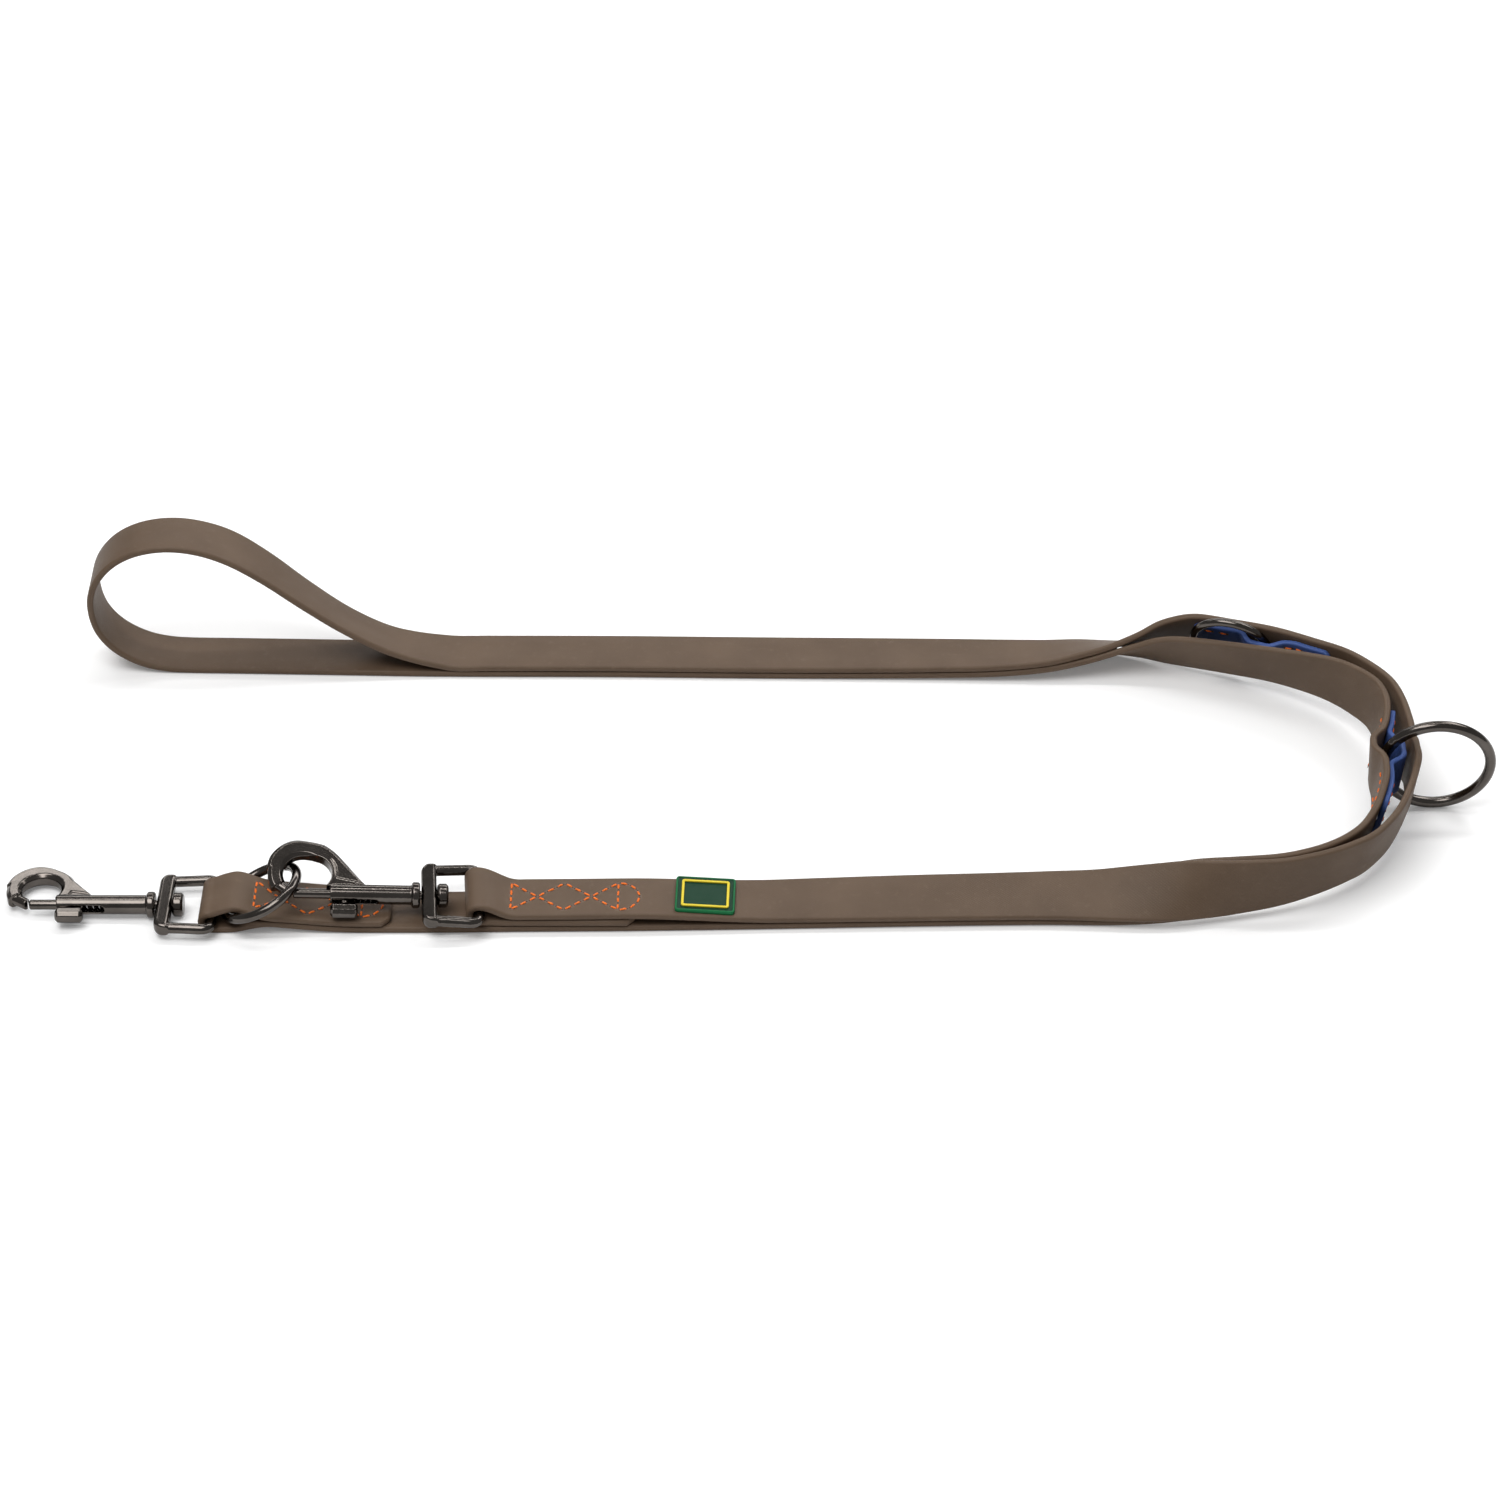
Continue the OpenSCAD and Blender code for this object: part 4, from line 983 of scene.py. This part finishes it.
spring_steel = Finish("spring_steel", Metallic=1.0)
spring_noise = spring_steel.noise(spring_steel.place(), 2.0)
spring_steel.feed(
    Base_Color=spring_steel.mix(spring_noise, (0.38, 0.38, 0.39, 1), (0.5, 0.5, 0.5, 1)),
    Roughness=0.28 + spring_noise * 0.12,
)

chamber_back, bolt_back, bolt_travel = -24.2, -43.5, 10.0
spring_r, spring_wire, spring_play, spring_turns = 1.35, 0.5, 0.1, 9
turn_steps, wire_sides = 24, 10


def bolt_spring(clip, stretch, turn):
    """A helix, (x, R cos a, R sin a) with x and a growing together, carried by a
    round wire."""
    a = np.linspace(0, 2 * np.pi * spring_turns, spring_turns * turn_steps + 1)[:, None]
    ends = [bolt_back + stretch + spring_play, chamber_back - spring_play]
    x = between(ends[0] + spring_wire / 2, ends[1] - spring_wire / 2, a / a[-1])
    out = np.hstack([0 * a, np.cos(a), np.sin(a)])
    b = np.linspace(0, 2 * np.pi, wire_sides, endpoint=False)
    wire = np.cos(b)[:, None] * out[:, None] + np.sin(b)[:, None] * np.array([1.0, 0, 0])
    points = (np.hstack([x, 0 * a, 0 * a]) + spring_r * out)[:, None] + spring_wire / 2 * wire
    last = (len(a) - 1) * wire_sides
    caps = [range(wire_sides - 1, -1, -1), range(last, last + wire_sides)]
    faces = [*grid_faces(len(a), wire_sides), *caps]
    points = placed(points.reshape(-1, 3) @ turn.T + clip_places[clip][1])
    piece = mesh_piece(f"{clip}_spring_wire", points, faces, None, spring_steel.material)
    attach(piece, f"{clip}_clip")
    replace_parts(piece, f"{clip}_clip_spring")
    length = chamber_back - bolt_back - stretch
    fixed_end = placed(turn @ np.array([chamber_back, 0, 0]) + clip_places[clip][1])
    1 - bolt_travel / length
    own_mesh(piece)  # fmt: skip


# Each hook's extra length beside the front one's, and its turn in degrees.
rear_stretch = 3
hook_turns = {"front": (0, turned([-3, 0, 0])), "rear": (rear_stretch, turned([23, 4.9, 4.5]))}
for clip in ("front", "rear"):
    place_of_clip = clip_places[clip]
    rivet_bore = bore_rod("rivet_bore", *place_of_clip)
    bent = bail_mesh(f"{clip}_bail_form", *place_of_clip)
    cast(f"{clip}_bail_casting", f"{clip}_clip_bail", f"{clip}_bail", 0.22, 4, bent, rivet_bore)
    bpy.data.objects.remove(rivet_bore)
    shouldered = hook_mesh(clip, *hook_turns[clip])
    cast(f"{clip}_hook_casting", f"{clip}_clip_hook", f"{clip}_clip", 0.2, 4, shouldered)
    cast(f"{clip}_rivet_pin", f"{clip}_clip_rivet", f"{clip}_clip", 0.16, 3)
    cast(f"{clip}_bolt_pin", f"{clip}_clip_bolt", f"{clip}_bolt", 0.14, 3)
    bolt_spring(clip, *hook_turns[clip])
    cast(f"{clip}_thumb_knob", f"{clip}_clip_knob", f"{clip}_bolt", 0.16, 5)

# ==== Studio ==================================================================
# A pale floor under a wide soft light, as for a catalogue picture, seen from 37
# degrees above with a long lens.

floor = mesh_piece("floor", [[-3, -3, 0], [3, -3, 0], [3, 3, 0], [-3, 3, 0]], [[0, 1, 2, 3]])
floor_paper = Finish("white_paper", Roughness=0.9, Specular_IOR_Level=0.1)
floor_paper.shader.inputs["Base Color"].default_value = (0.9, 0.9, 0.9, 1)
floor_paper.shader.inputs["Emission Color"].default_value = (1, 1, 1, 1)
seen = floor_paper.node("ShaderNodeLightPath", {}, {}, "Is Camera Ray")
floor_paper.tree.links.new((seen * 0.14).socket, floor_paper.shader.inputs["Emission Strength"])
floor.data.materials.append(floor_paper.material)

world = bpy.data.worlds.new("studio")
bpy.context.scene.world = world
world.use_nodes = True
sky = world.node_tree.nodes["Background"]
sky.inputs["Color"].default_value = (1, 1, 1, 1)
sky.inputs["Strength"].default_value = 0.26

for lamp_name, spot, size, power in (
    ("key_softbox", (-0.5, -0.5, 1.5), (1.2, 0.8), 17.0),
    ("fill_softbox", (0.9, 0.7, 1.1), (0.9, 0.5), 6.0),
    ("back_strip", (0.0, 1.3, 0.8), (1.8, 0.2), 6.0),
    ("top_strip", (0.0, 0.35, 1.3), (1.8, 0.08), 6.0),
):
    lamp = bpy.data.lights.new(lamp_name, "AREA")
    lamp.shape, lamp.size, lamp.size_y, lamp.energy = "RECTANGLE", *size, power
    holder = bpy.data.objects.new(lamp_name, lamp)
    holder.location = spot
    holder.rotation_euler = (-Vector(spot)).to_track_quat("-Z", "Y").to_euler()
    bpy.context.scene.collection.objects.link(holder)

view_height, view_distance = np.radians(37.0), 1.5
camera_data = bpy.data.cameras.new("camera")
camera_data.lens, camera_data.sensor_width = 102.3, 36.0
camera_data.clip_start, camera_data.clip_end = 0.05, 20.0
camera = bpy.data.objects.new("camera", camera_data)
aim = Vector(placed([0.0, 0.0, 0.0]))
back = Vector((0.0, -np.cos(view_height), np.sin(view_height)))
camera.location = aim + back * view_distance
camera.rotation_euler = (-back).to_track_quat("-Z", "Y").to_euler()
bpy.context.scene.collection.objects.link(camera)
bpy.context.scene.camera = camera
bpy.context.scene.view_settings.view_transform = "Standard"
